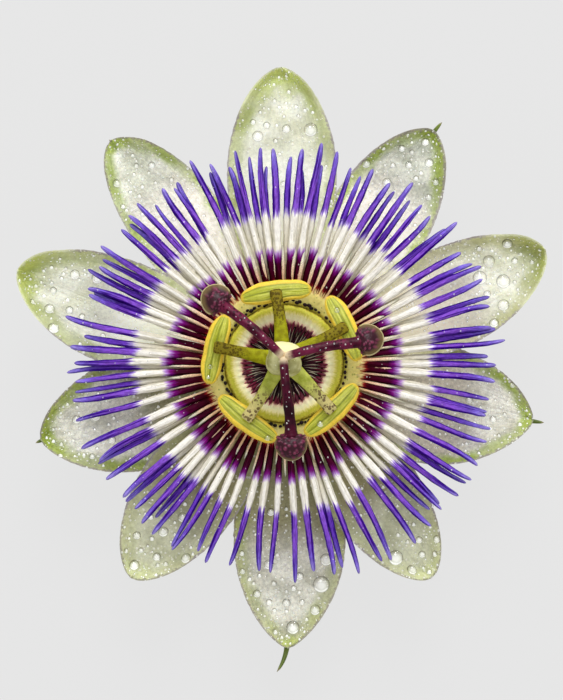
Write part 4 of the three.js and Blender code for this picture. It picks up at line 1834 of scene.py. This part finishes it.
@dataclass
class Stamen:
    """A flat stalk that runs out from the column, with an anther swinging under its end."""

    number: int
    angle: float
    turn: float
    finish: Finish
    root: float = 1.2
    tip: float = 11.7
    half: float = 1.4
    tip_half: float = 1.0
    height: float = 21.2
    droop: float = 0.3
    anther_out: float = 11.4
    anther_height: float = 19.2
    length: float = 11.7
    width: float = 3.6
    depth: float = 2.1

    def build(self) -> None:
        """Models the stalk and the anther."""
        self.build_stalk()
        self.build_anther()

    def build_stalk(self) -> None:
        """Bends a rod into the stalk, flattened and blunt at its end."""
        phases = np.random.RandomState(40 + self.number).uniform(0, 1, 3)

        def centre(share: np.ndarray) -> np.ndarray:
            """Runs outward and sinks a little.

            Args:
                share: Shares of its length.

            Returns:
                The points there.
            """
            side = 0.12 * wave(0.7 * share + phases[0])
            up = self.height + 0.1 - self.droop * share**2 + 0.05 * wave(1.5 * share + phases[1])
            return polar(self.angle, self.root + (self.tip - self.root) * share, side, up)

        def wide(share: np.ndarray) -> np.ndarray:
            """Tapers from the column, swells a little at the end and rounds off.

            Args:
                share: Shares of its length.

            Returns:
                The half-widths there.
            """
            places = (0, 0.25, 0.55, 0.8, 0.95, 1)
            halves = (self.half, self.half * 0.84, self.tip_half * 0.98, self.tip_half * 0.94,
                      self.tip_half * 1.06, self.tip_half)
            return np.interp(share, places, halves) * np.sqrt(np.clip(1 - share**90, 0.55, 1))

        def tall(share: np.ndarray) -> np.ndarray:
            """Flat, with a blunt end."""
            return 0.5 * np.sqrt(np.clip(1 - share**90, 0.2, 1))

        stalk = limb(f"stamen_stalk_{self.number}_skin", 18, 28, centre, wide, tall, phases[2])
        dress(stalk, self.finish, [f"stamen_stalk_{self.number}"])

    def build_anther(self) -> None:
        """Shapes a rod into the anther: two lobes with furrows and a rim of pollen."""
        straight = rod(f"anther_rod_{self.number}", 44, 40)
        share, across, above = read_points(straight).T
        along, inner = 2 * share - 1, np.abs(across)
        phases = np.random.RandomState(60 + self.number).uniform(0, TURN, 2)
        round_off = np.sqrt(np.clip(1 - np.abs(along * 0.985) ** 3.4, 0.0, 1))
        waver = 1 + 0.03 * np.sin(5 * along + phases[0]) + 0.02 * np.sin(11 * along + phases[1])
        side = self.width / 2 * across * round_off * waver + 0.4 * along**2 - 0.15
        rim_furrow = hump(inner - np.where(across > 0, 0.66, 0.52), 0.06)
        furrows = hump(across, 0.1) + 0.5 * hump(inner - 0.34, 0.08) + 0.9 * rim_furrow
        furrows = np.clip(furrows, 0, 1) * (above > 0)
        crest = np.sign(above) * np.abs(above) ** 0.75
        up = self.depth / 2 * crest * round_off**0.8 - 0.22 * furrows * round_off
        cosine, sine = heading(self.angle + self.turn + 90)
        middle = polar(self.angle, self.anther_out, 0.0, self.anther_height)
        reach = self.length / 2 * along
        places = np.stack([
            middle[0] + reach * cosine - side * sine,
            middle[1] + reach * sine + side * cosine,
            middle[2] + up - 0.35 * along**2,
        ], 1)
        anther = stamp(f"anther_{self.number}_lobes", straight, [places], self.number / 7)
        ends = ease(0.9, 0.97, np.abs(along))
        inset = np.where(across > 0, 0.7, 0.56)
        pollen = np.clip(ease(0.0, 0.08, inner - inset) + ends + (above < -0.15) * 1.0, 0, 1)
        # the furrows' darkness is partly painted shade
        note_values(anther, "furrow_shade", furrows)
        note_values(anther, "pollen", pollen)
        close_skin(anther)
        smooth_faces(anther, ROUND_CREASE)
        dress(anther, ANTHER_FINISH, [f"anther_{self.number}"])


@dataclass
class Style:
    """A purple style that arches out from the ovary, and its warty stigma."""

    number: int
    angle: float
    finish: Finish = STYLE_FINISH
    root: float = 0.25
    tip: float = 13.0
    foot: float = 27.9
    crown: float = 29.4
    tip_height: float = 28.2
    stigma_out: float = 14.4
    stigma_length: float = 4.9
    stigma_width: float = 5.3
    stigma_depth: float = 2.6
    stigma_height: float = 28.0
    wrap: float = 0.35
    cap_shrink: float = 0.22
    cap_shift: float = 0.45
    cap_from: float = 0.46

    def centre(self, share: np.ndarray) -> np.ndarray:
        """Gives the style's centre line.

        Args:
            share: Shares of its length.

        Returns:
            The points there.
        """
        up = self.foot + (self.tip_height - self.foot) * share
        up = up + (self.crown - self.foot) * np.sin(np.pi * np.sqrt(np.clip(share, 0, 1)))
        side = 0.15 * wave(0.8 * share + 0.3 * self.number)
        return polar(self.angle, self.root + (self.tip - self.root) * share, side, up)

    def wide(self, share: np.ndarray) -> np.ndarray:
        """Gives the style's radius, which grows outward."""
        uneven = 1 + 0.04 * wave(4 * share + 0.4 * self.number)
        return np.interp(share, (0, 0.3, 0.8, 0.92, 1), (0.66, 0.76, 0.88, 0.98, 1.3)) * uneven

    def build(self) -> None:
        """Models the style and its stigma."""
        name, chance = f"style_{self.number}", self.number / 5
        style = limb(f"{name}_skin", 14, 34, self.centre, self.wide, self.wide, chance)
        dress(style, self.finish, [name])
        self.build_stigma()

    def build_stigma(self) -> None:
        """Shapes a ball into a kidney with warts on top and a smooth rim on its outer side."""
        ball = add_primitive(
            f"stigma_{self.number}_head", bpy.ops.mesh.primitive_ico_sphere_add, subdivisions=6, radius=1.0,
        )
        unit = read_points(ball)
        out, side, up = unit.T
        cap = ease(self.cap_from, self.cap_from + 0.16, up)
        rim = (1 - cap) * (0.5 + 0.5 * ease(self.cap_from - 0.02, self.cap_from - 0.14, up))
        rim = rim * ease(-0.7, -0.2, out)
        shift = Vector((7.0 * self.number, 3.0, 5.0))
        cells = np.array([noise.voronoi(Vector(place) * 3.4 + shift)[0][0] for place in unit])
        wart = ease(0.62, 0.12, cells) * ease(0.6, 0.2, rim)
        swollen = unit * (1 + 0.13 * wart)[:, None]
        drawn_in = 1 - self.cap_shrink * cap
        step = swollen * [self.stigma_length / 2, self.stigma_width / 2, self.stigma_depth / 2]
        reach = self.stigma_out + step[:, 0] * drawn_in * (0.9 + 0.1 * np.sign(out))
        reach = reach - self.cap_shift * cap - self.wrap * side**2
        height = self.stigma_height + step[:, 2] + 0.3 * cap
        write_points(ball, polar(self.angle, reach, step[:, 1] * drawn_in, height))
        note_values(ball, "wart", wart)
        note_values(ball, "rim", rim)
        smooth_faces(ball, ROUND_CREASE)
        dress(ball, STIGMA_FINISH, [f"stigma_{self.number}"])


@dataclass
class Heart:
    """The cup, the column that stands in it, and what the column carries."""

    stamens: tuple[Stamen, ...] = (
        Stamen(1, 28.8, -4.0, UPPER_STAMEN_FINISH),
        Stamen(2, 96.8, 1.0, UPPER_STAMEN_FINISH),
        Stamen(3, 170.0, -3.6, UPPER_STAMEN_FINISH),
        Stamen(4, 237.6, -5.0, LOWER_STAMEN_FINISH),
        Stamen(5, 313.9, 0.0, LOWER_STAMEN_FINISH),
    )
    styles: tuple[Style, ...] = (
        Style(1, 140.0),
        Style(2, 274.5, LOWER_STYLE_FINISH, cap_shrink=0.12, cap_shift=0.1, cap_from=0.26),
        Style(3, 11.3, stigma_out=13.9),
    )
    steps: int = 96

    def build(self) -> None:
        """Models the heart from the cup up."""
        self.build_cup()
        self.build_column()
        self.build_ovary()
        for limb_of_column in (*self.stamens, *self.styles):
            limb_of_column.build()

    def build_cup(self) -> None:
        """Turns the cup, and notes which of its wall is the outside."""
        cup = turned("floral_cup_wall", (
            (0, 5.8), (2.6, 5.8), (6.6, 6.5), (9.8, 8.0), (11.6, 10.0), (12.3, 11.6), (12.6, 12.7),
            (11.8, 13.0), (10.1, 13.0), (10.1, 12.0), (9.0, 11.4), (8.7, 10.2), (7.2, 8.7),
            (5.6, 8.2), (3.9, 8.2), (3.2, 9.1), (2.7, 8.6), (0, 8.5),
        ), self.steps)
        points, radius, _ = read_round(cup)
        outer = np.interp(radius, (2.6, 6.6, 9.8, 11.6, 12.6), (5.8, 6.5, 8.0, 10.0, 12.7))
        note_values(cup, "under", (points[:, 2] < outer + 0.5).astype(float))
        smooth_faces(cup)
        dress(cup, CUP_FINISH, ["floral_cup"])

    def build_column(self) -> None:
        """Turns the column, which flares under the stamens."""
        column = turned("column_post", (
            (0, 8.4), (2.4, 8.4), (2.2, 9.3), (1.5, 10.9), (1.45, 15.0), (1.5, 19.0), (1.9, 20.4),
            (2.35, 21.0), (2.4, 21.8), (2.0, 22.3), (0, 22.4),
        ), self.steps)
        apply_modifier(column, "SUBSURF", levels=1, render_levels=1)
        smooth_faces(column, ROUND_CREASE)
        note_height(column)
        dress(column, COLUMN_FINISH, ["column"])

    def build_ovary(self) -> None:
        """Swells a turned body into three lobes, and notes its upper shoulder on the lit side, where cream is
        painted as painted light.
        """
        ovary = turned("ovary_body", (
            (0, 21.9), (1.9, 22.0), (2.5, 22.8), (2.7, 23.7), (2.5, 25.0), (2.15, 26.2), (1.7, 27.0),
            (0.9, 27.5), (0, 27.6),
        ), self.steps)
        apply_modifier(ovary, "SUBSURF", levels=1, render_levels=1)
        points, _, angle = read_round(ovary)
        angle = np.degrees(angle) % 360
        turns = (0, 33, 58, 83, 108, 130, 160, 190, 210, 235, 268, 292, 318, 340, 360)
        sizes = (1.02, 1.2, 1.1, 1.02, 1.1, 1.22, 1.02, 1.14, 1.24, 1.2, 0.98, 1.2, 1.28, 1.16, 1.02)
        # upper shoulder facing the key light, painted cream as painted light
        lit_shoulder = ease(23.0, 25.6, points[:, 2]) * ease(66, 46, np.abs(angle - 82))
        points[:, :2] *= np.interp(angle, turns, sizes)[:, None]
        write_points(ovary, points + AXIS)
        note_flow(ovary, lit_shoulder)
        smooth_faces(ovary, ROUND_CREASE)
        dress(ovary, OVARY_FINISH, ["ovary"])


BRACT_FINISH = TissueFinish(
    "bract_skin", roughness=0.5, flesh=0.1, light="#96a85c", dark="#6e843c", grain=420.0, bump=0.08,
)


@dataclass
class Foot:
    """The cut stalk and the three bracts under the cup, which the flower lies on."""

    angles: tuple[float, ...] = (30.0, 150.0, 270.0)
    foot: float = 1.5
    reach: float = 21.5
    foot_half: float = 1.3
    half: float = 6.0
    root: float = 4.2
    touch: float = 14.0
    patch: float = 2.5
    lift: float = 0.9
    rise: float = 2.4
    thickness: float = 0.7
    stalk_radius: float = 1.2
    stalk_foot: float = 0.4
    stalk_head: float = 6.4

    def build(self) -> None:
        """Models the bracts and the stalk."""
        for number, angle in enumerate(self.angles, 1):
            self.build_bract(number, angle)
        radius, foot, head = self.stalk_radius, self.stalk_foot, self.stalk_head
        stalk = turned("cut_stalk", (
            (0, foot), (radius * 0.92, foot), (radius, foot + 0.15), (radius, 4.6),
            (radius * 1.35, head - 0.6), (radius * 1.5, head), (0, head),
        ), 36)
        smooth_faces(stalk)
        note_height(stalk)
        dress(stalk, STALK_FINISH, ["stalk"])

    def build_bract(self, number: int, angle: float) -> None:
        """Shapes a grid into one bract, with a midrib and side veins pressed in.

        Args:
            number: The bract's number.
            angle: Its direction.
        """
        bract = add_primitive(
            f"bract_{number}_blade", bpy.ops.mesh.primitive_grid_add,
            x_subdivisions=60, y_subdivisions=36, size=2.0,
        )
        grid = read_points(bract)
        along, across = (grid[:, 0] + 1) / 2, grid[:, 1]
        out = self.foot + (self.reach - self.foot) * along
        width = self.foot_half * (1 - along) + self.half * np.sin(3.139 * along**0.9) ** 0.8
        low = self.root * (1 - ease(0.1, 1, (out - self.foot) / (self.touch - self.foot)))
        low = low + self.lift * ease(self.touch + self.patch, self.reach, out)
        low = low + self.rise * ease(0, 0.5, along) * np.clip(np.abs(across) - 0.34, 0, None) ** 1.5
        side_veins = np.clip(np.cos(TURN * (along * 7 - np.abs(across) * 1.6)), 0.6, 1)
        veins = (0.12 * hump(across, 0.06) + 0.05 * side_veins) * ease(0.0, 0.2, along)
        write_points(bract, polar(angle, out, across * width, low + self.thickness - veins))
        apply_modifier(bract, "SOLIDIFY", thickness=self.thickness * MM, offset=-1.0)
        walls = read_points(bract) / MM
        walls[len(grid):, 2] = low
        walls[len(grid):, :2] = walls[:len(grid), :2]
        write_points(bract, walls)
        note_flow(bract, np.tile(along, 2), np.tile(across, 2), number)
        smooth_faces(bract)
        dress(bract, BRACT_FINISH, [f"bract_{number}"])


# Water

WATER_FINISH = WaterFinish("water_with_painted_light")


@dataclass
class Drop:
    """One drop: its place, the surface's normal there, its radius, and how strong the painted light in its
    middle is.
    """

    place: np.ndarray
    normal: np.ndarray
    radius: float
    rise: float = 0.32
    skin: Tepal | None = None
    # how much painted light the drop's middle has
    fill: float = 0.0

    def shape(self, model: np.ndarray) -> np.ndarray:
        """Lays the points of a unit dome over the skin.

        Args:
            model: The dome's points, whose X points right and whose Y points ahead in the plan.

        Returns:
            Points in the frame, in millimetres.
        """
        right = np.cross([0.0, 1.0, 0.0], self.normal)
        right /= np.linalg.norm(right)
        ahead = np.cross(self.normal, right)
        side, forward, above = np.split(model * self.radius, 3, axis=1)
        laid = self.place + side * right + forward * ahead
        if self.skin is not None:
            laid = self.skin.settle(laid[:, :2] - AXIS[:2])[0]
        return laid + self.normal * (above * self.rise + 0.03)


@dataclass
class Dew:
    """The water: large drops where the photograph has them, and small ones scattered by rule.

    A noted drop is given by its place to the right of the axis and ahead of it, and its radius.
    """

    perianth: Perianth
    scatter: int = 150
    smallest: float = 0.1
    largest: float = 0.42
    anther_top: float = 20.1
    on_anthers: tuple[Triple, ...] = (
        (-12.1, -1.0, 0.45), (-12.4, -2.7, 0.35), (-2.7, -12.7, 0.5), (5.9, -10.4, 0.55), (8.7, 8.3, 0.5),
    )
    noted: dict[str, tuple[Triple, ...]] = field(default_factory=lambda: {
        "petal_1": (
            (4.5, 39.4, 1.19), (0.4, 39.6, 0.72), (-4.4, 38.3, 0.94), (-2.9, 40.2, 0.6), (-5.2, 40.7, 0.5),
            (-4.0, 42.4, 0.33), (-1.6, 44.3, 0.43), (0.3, 43.9, 0.32), (-1.4, 37.6, 0.43), (0.0, 41.7, 0.3),
            (-3.4, 43.1, 0.25), (2.4, 41.8, 0.3), (0.0, 30.3, 0.6),
        ),
        "petal_2": (
            (-34.9, 14.9, 0.86), (-31.2, 14.3, 0.93), (-38.5, 12.3, 0.6), (-39.1, 9.2, 0.85),
            (-35.8, 9.0, 0.65), (-38.4, 5.9, 1.0), (-33.7, 7.9, 0.55), (-37.1, 14.3, 0.37),
            (-36.4, 15.9, 0.33), (-40.5, 13.7, 0.33), (-42.3, 14.2, 0.32), (-41.9, 10.3, 0.5),
            (-30.2, 4.7, 0.5), (-33.4, 2.0, 0.45),
        ),
        "petal_3": (
            (-24.4, -28.5, 0.68), (-20.0, -27.9, 0.88), (-16.8, -25.5, 0.83), (-20.7, -23.2, 0.62),
            (-19.1, -21.8, 0.46), (-22.1, -25.4, 0.52), (-26.2, -31.0, 0.48), (-23.7, -30.9, 0.46),
            (-21.1, -32.0, 0.7), (-24.8, -33.4, 0.87), (-19.6, -33.2, 0.45), (-20.9, -33.4, 0.4),
            (-16.2, -32.3, 0.92), (-21.9, -29.0, 0.43), (-18.1, -28.3, 0.35), (-22.6, -30.2, 0.27),
        ),
        "petal_4": (
            (18.5, -32.2, 1.3), (21.2, -34.2, 0.88), (24.1, -34.5, 0.5), (25.3, -29.1, 0.67),
            (22.9, -31.6, 0.6), (25.0, -31.5, 0.55), (22.4, -29.2, 0.6), (18.9, -28.4, 0.4),
            (20.5, -29.5, 0.37), (21.9, -24.7, 0.5), (24.6, -23.7, 0.27), (21.5, -26.6, 0.4),
        ),
        "petal_5": (
            (36.6, 13.8, 1.2), (32.7, 14.4, 1.2), (34.2, 17.2, 1.0), (37.2, 20.0, 0.9), (36.6, 9.8, 1.0),
            (35.0, 6.8, 0.82), (33.9, 11.7, 0.62), (31.4, 9.6, 0.65), (38.5, 17.2, 0.55),
            (32.5, 19.2, 0.47), (41.4, 17.0, 0.4), (39.0, 15.0, 0.35), (38.5, 13.7, 0.35),
            (39.0, 12.4, 0.32), (39.1, 11.7, 0.27), (39.9, 15.8, 0.3), (41.4, 15.4, 0.28),
            (35.3, 18.4, 0.3), (36.0, 17.7, 0.26), (32.5, 18.1, 0.3), (34.3, 5.6, 0.42), (32.5, 4.6, 0.4),
            (40.2, 14.2, 0.25), (41.0, 12.7, 0.28), (35.1, 11.6, 0.27), (31.4, 15.6, 0.4),
            (33.3, 19.0, 0.25),
        ),
        "sepal_1": (
            (13.8, 33.8, 0.77), (21.0, 33.7, 0.6), (24.4, 34.0, 0.77), (23.8, 37.5, 0.7), (25.5, 30.7, 0.6),
            (24.3, 28.2, 0.58), (17.3, 30.7, 0.77), (18.3, 33.6, 0.47), (22.2, 31.4, 0.5),
            (19.8, 36.4, 0.6), (21.5, 35.8, 0.48), (16.7, 36.3, 0.42), (11.5, 24.8, 0.7),
        ),
        "sepal_2": (
            (-28.1, 30.4, 0.72), (-27.0, 26.5, 0.47), (-22.2, 33.5, 0.6), (-24.8, 33.5, 0.45),
            (-25.2, 32.0, 0.4), (-23.8, 29.9, 0.42), (-25.8, 29.0, 0.35), (-18.9, 31.1, 0.45),
            (-27.8, 33.9, 0.27), (-15.3, 30.4, 0.35),
        ),
        "sepal_3": (
            (-34.6, -9.2, 0.75), (-31.4, -8.6, 0.87), (-28.7, -12.6, 0.7), (-37.1, -13.3, 0.4),
            (-37.1, -15.3, 0.5), (-31.9, -15.4, 0.53), (-31.1, -14.0, 0.32), (-34.1, -15.0, 0.3),
            (-35.1, -12.7, 0.35), (-38.4, -12.8, 0.4), (-39.6, -12.2, 0.33), (-25.1, -5.2, 0.4),
        ),
        "sepal_4": (
            (6.2, -36.6, 1.43), (7.0, -32.5, 1.05), (5.2, -40.8, 0.92), (1.5, -43.7, 1.15),
            (-4.5, -38.1, 0.67), (-2.5, -33.3, 0.86), (-2.5, -39.5, 0.53), (0.4, -39.6, 0.67),
            (2.6, -35.2, 0.67), (-1.7, -36.4, 0.48), (-1.6, -40.9, 0.42), (3.0, -39.5, 0.5),
            (-6.9, -34.4, 0.53), (-5.7, -35.7, 0.42), (-1.5, -44.4, 0.5), (1.6, -37.2, 0.5),
            (0.4, -37.7, 0.33), (-2.2, -24.6, 0.67), (-1.6, -29.6, 0.53), (-7.0, -31.4, 0.48),
        ),
        "sepal_5": (
            (34.9, -9.1, 0.57), (38.0, -3.5, 0.53), (39.3, -10.0, 0.43), (35.8, -11.9, 0.37),
            (36.8, -8.3, 0.35), (38.6, -12.5, 0.33), (32.4, -14.8, 0.33), (30.9, -5.9, 0.6),
            (37.6, -12.1, 0.37), (39.1, -7.9, 0.3), (25.0, -16.4, 0.53), (33.0, -10.4, 0.33),
        ),
    })

    def build(self, ridges: Sequence[Path], styles: Sequence[Style]) -> None:
        """Sets every drop.

        Args:
            ridges: Upper ridges of the inner filaments.
            styles: The styles, which carry fine drops too.
        """
        large, small = [], []
        for name, spots in self.noted.items():
            tepal = self.perianth.named(name)
            settled = [self.settle(tepal, *spot) for spot in spots]
            large += settled
            small += self.sprinkle(tepal, settled)
        for right, up, radius in self.on_anthers:
            large.append(Drop(AXIS + [right, up, self.anther_top], UP, radius, fill=-0.5))
        fine = self.bead_filaments(ridges) + self.bead_styles(styles)
        self.cast("large_drops", large, 20, 12).visible_shadow = True
        self.cast("small_drops", small, 10, 6)
        self.cast("fine_drops", fine, 8, 5)

    @staticmethod
    def settle(tepal: Tepal, right: float, up: float, radius: float) -> Drop:
        """Sits a noted drop on its tepal."""
        place, normal, _ = tepal.locate(right, up)
        return Drop(place, normal, radius, skin=tepal)

    def sprinkle(self, tepal: Tepal, taken: Sequence[Drop]) -> list[Drop]:
        """Scatters small drops over a tepal, clear of each other and of the rim.

        Args:
            tepal: The tepal.
            taken: Drops that already sit there.

        Returns:
            The new drops.
        """
        chance = np.random.RandomState(200 + tepal.seed)
        made: list[Drop] = []
        for _ in range(self.scatter * 6):
            if len(made) >= self.scatter:
                break
            out = tepal.reach - 0.8 - 24 * chance.uniform() ** 1.15
            across = chance.uniform(-0.94, 0.94)
            radius = self.smallest + (self.largest - self.smallest) * chance.uniform() ** 3.2
            plan = polar(tepal.angle, out, across * tepal.half_at(out), 0.0) - AXIS
            place, normal, edge = tepal.locate(plan[0], plan[1])
            clear = all(
                np.linalg.norm(place - drop.place) > 1.06 * (radius + drop.radius)
                for drop in (*taken, *made)
            )
            if clear and edge > radius * 1.1:
                made.append(Drop(place, normal, radius, 0.45, fill=0.15))
        return made

    @staticmethod
    def bead_filaments(ridges: Sequence[Path]) -> list[Drop]:
        """Sets fine drops along the tops of the filaments.

        Args:
            ridges: The filaments' upper ridges.

        Returns:
            The drops.
        """
        chance = np.random.RandomState(301)
        made = []
        for ridge in ridges:
            for _ in range(chance.randint(1, 5)):
                share = np.array([chance.uniform(0.08, 0.96)])
                place = ridge(share)[0] + [chance.normal(0, 0.12), chance.normal(0, 0.12), -0.03]
                made.append(Drop(place, UP, chance.uniform(0.08, 0.18), 0.8, fill=-0.25))
        return made

    @staticmethod
    def bead_styles(styles: Sequence[Style]) -> list[Drop]:
        """Sets fine drops on both sides of the styles' backs.

        Args:
            styles: The styles.

        Returns:
            The drops.
        """
        chance = np.random.RandomState(302)
        made = []
        for style in styles:
            cosine, sine = heading(style.angle)
            for index in range(12):
                share = np.array([0.15 + 0.07 * index + chance.uniform(-0.03, 0.03)])
                upright, aside = heading(chance.choice([-22, 22]) + chance.uniform(-14, 14))
                normal = np.array([-sine * aside, cosine * aside, upright])
                place = style.centre(share)[0] + normal * style.wide(share)[0] * 0.97
                made.append(Drop(place, normal, chance.uniform(0.08, 0.2), 0.7, fill=-0.35))
        return made

    @staticmethod
    def cast(name: str, drops: Sequence[Drop], segments: int, rings: int) -> Piece:
        """Cuts one dome from a sphere and copies it to every drop.

        Args:
            name: Name of the piece.
            drops: The drops.
            segments: Sides of the dome.
            rings: Rings of the whole sphere.

        Returns:
            The piece, which throws no shadow.
        """
        dome = add_primitive(
            f"{name}_model", bpy.ops.mesh.primitive_uv_sphere_add,
            segments=segments, ring_count=rings, radius=1.0,
        )
        with editing(dome):
            bpy.ops.mesh.select_all(action="SELECT")
            bpy.ops.mesh.bisect(
                plane_co=(0, 0, -0.12), plane_no=(0, 0, 1), use_fill=True, clear_inner=True,
            )
        model = read_points(dome)
        chance = np.random.RandomState(400 + segments)
        # each drop's own amount of painted light
        painted_brightness = [drop.fill + chance.uniform(0.0, 0.35) for drop in drops]
        piece = stamp(name, dome, [drop.shape(model) for drop in drops], painted_brightness)
        dress(piece, WATER_FINISH)
        piece.visible_shadow = False
        return piece


# Studio

@dataclass
class Studio:
    """Pale floor, soft light and the camera, which looks almost straight down."""

    pixels_per_mm: float = 6.0
    image_width: int = 563
    image_height: int = 700
    flower_pixel: tuple[float, float] = (284.0, 364.0)
    focus_height: float = 13.0
    distance: float = 420.0
    elevation: float = 85.0
    sensor: float = 36.0
    sky: float = 0.74
    key_energy: float = 3.4
    glint_energy: float = 2.4

    def build(self) -> None:
        """Sets the stage."""
        self.lay_floor()
        self.light_sky()
        self.hang_light("key_light", (40.0, 540.0, 440.0), 420.0, self.key_energy)
        glint = self.hang_light("glint_light", (40.0, 300.0, 560.0), 150.0, self.glint_energy)
        glint.visible_diffuse = False
        glint.visible_transmission = False
        self.place_camera()
        bpy.context.scene.view_settings.view_transform = "Standard"

    @staticmethod
    def lay_floor() -> None:
        """Lays a wide pale floor under the flower."""
        floor = add_primitive("floor", bpy.ops.mesh.primitive_plane_add, size=4.0)
        with editing(floor):
            bpy.ops.mesh.select_all(action="SELECT")
            bpy.ops.mesh.subdivide(number_cuts=3)
        floor.data.materials.append(FloorFinish("floor_paint", roughness=0.9, specular=0.1).material())

    def light_sky(self) -> None:
        """Fills the scene with even light."""
        world = bpy.data.worlds.new("soft_sky")
        world.use_nodes = True
        background = world.node_tree.nodes["Background"]
        background.inputs["Color"].default_value = (1.0, 1.0, 1.0, 1.0)
        background.inputs["Strength"].default_value = self.sky
        bpy.context.scene.world = world

    @staticmethod
    def hang_light(name: str, place: Triple, size: float, energy: float) -> Piece:
        """Hangs a square soft light that faces the flower.

        Args:
            name: Name of the light.
            place: Where it hangs, in millimetres.
            size: Length of its sides, in millimetres.
            energy: Its power, in watts.

        Returns:
            The light.
        """
        data = bpy.data.lights.new(name, "AREA")
        data.shape = "SQUARE"
        data.size = size * MM
        data.energy = energy
        light = bpy.data.objects.new(name, data)
        light.location = Vector(place) * MM
        light.rotation_euler = (-light.location).to_track_quat("-Z", "Y").to_euler()
        bpy.context.scene.collection.objects.link(light)
        return light

    def place_camera(self) -> None:
        """Puts the camera at the photograph's angle, with its frame at the photograph's scale."""
        data = bpy.data.cameras.new("camera")
        height = self.image_height / self.pixels_per_mm
        data.sensor_width = self.sensor
        data.lens = self.sensor * self.distance / height
        data.clip_start, data.clip_end = 0.01, 10.0
        camera = bpy.data.objects.new("camera", data)
        right = (self.image_width / 2 - self.flower_pixel[0]) / self.pixels_per_mm
        up = (self.flower_pixel[1] - self.image_height / 2) / self.pixels_per_mm
        target = Vector((AXIS[0] + right, AXIS[1] + up, self.focus_height))
        tilt = math.radians(self.elevation)
        back = Vector((0.0, -math.cos(tilt), math.sin(tilt)))
        camera.location = (target + back * self.distance) * MM
        camera.rotation_euler = (-back).to_track_quat("-Z", "Y").to_euler()
        bpy.context.scene.collection.objects.link(camera)
        bpy.context.scene.camera = camera


def main() -> None:
    """Builds the flower part by part, then the studio."""
    perianth = Perianth()
    perianth.build()
    ridges = Corona().build()
    Operculum().build()
    heart = Heart()
    heart.build()
    Foot().build()
    Dew(perianth).build(ridges, heart.styles)
    Studio().build()


if __name__ == "__main__":
    main()
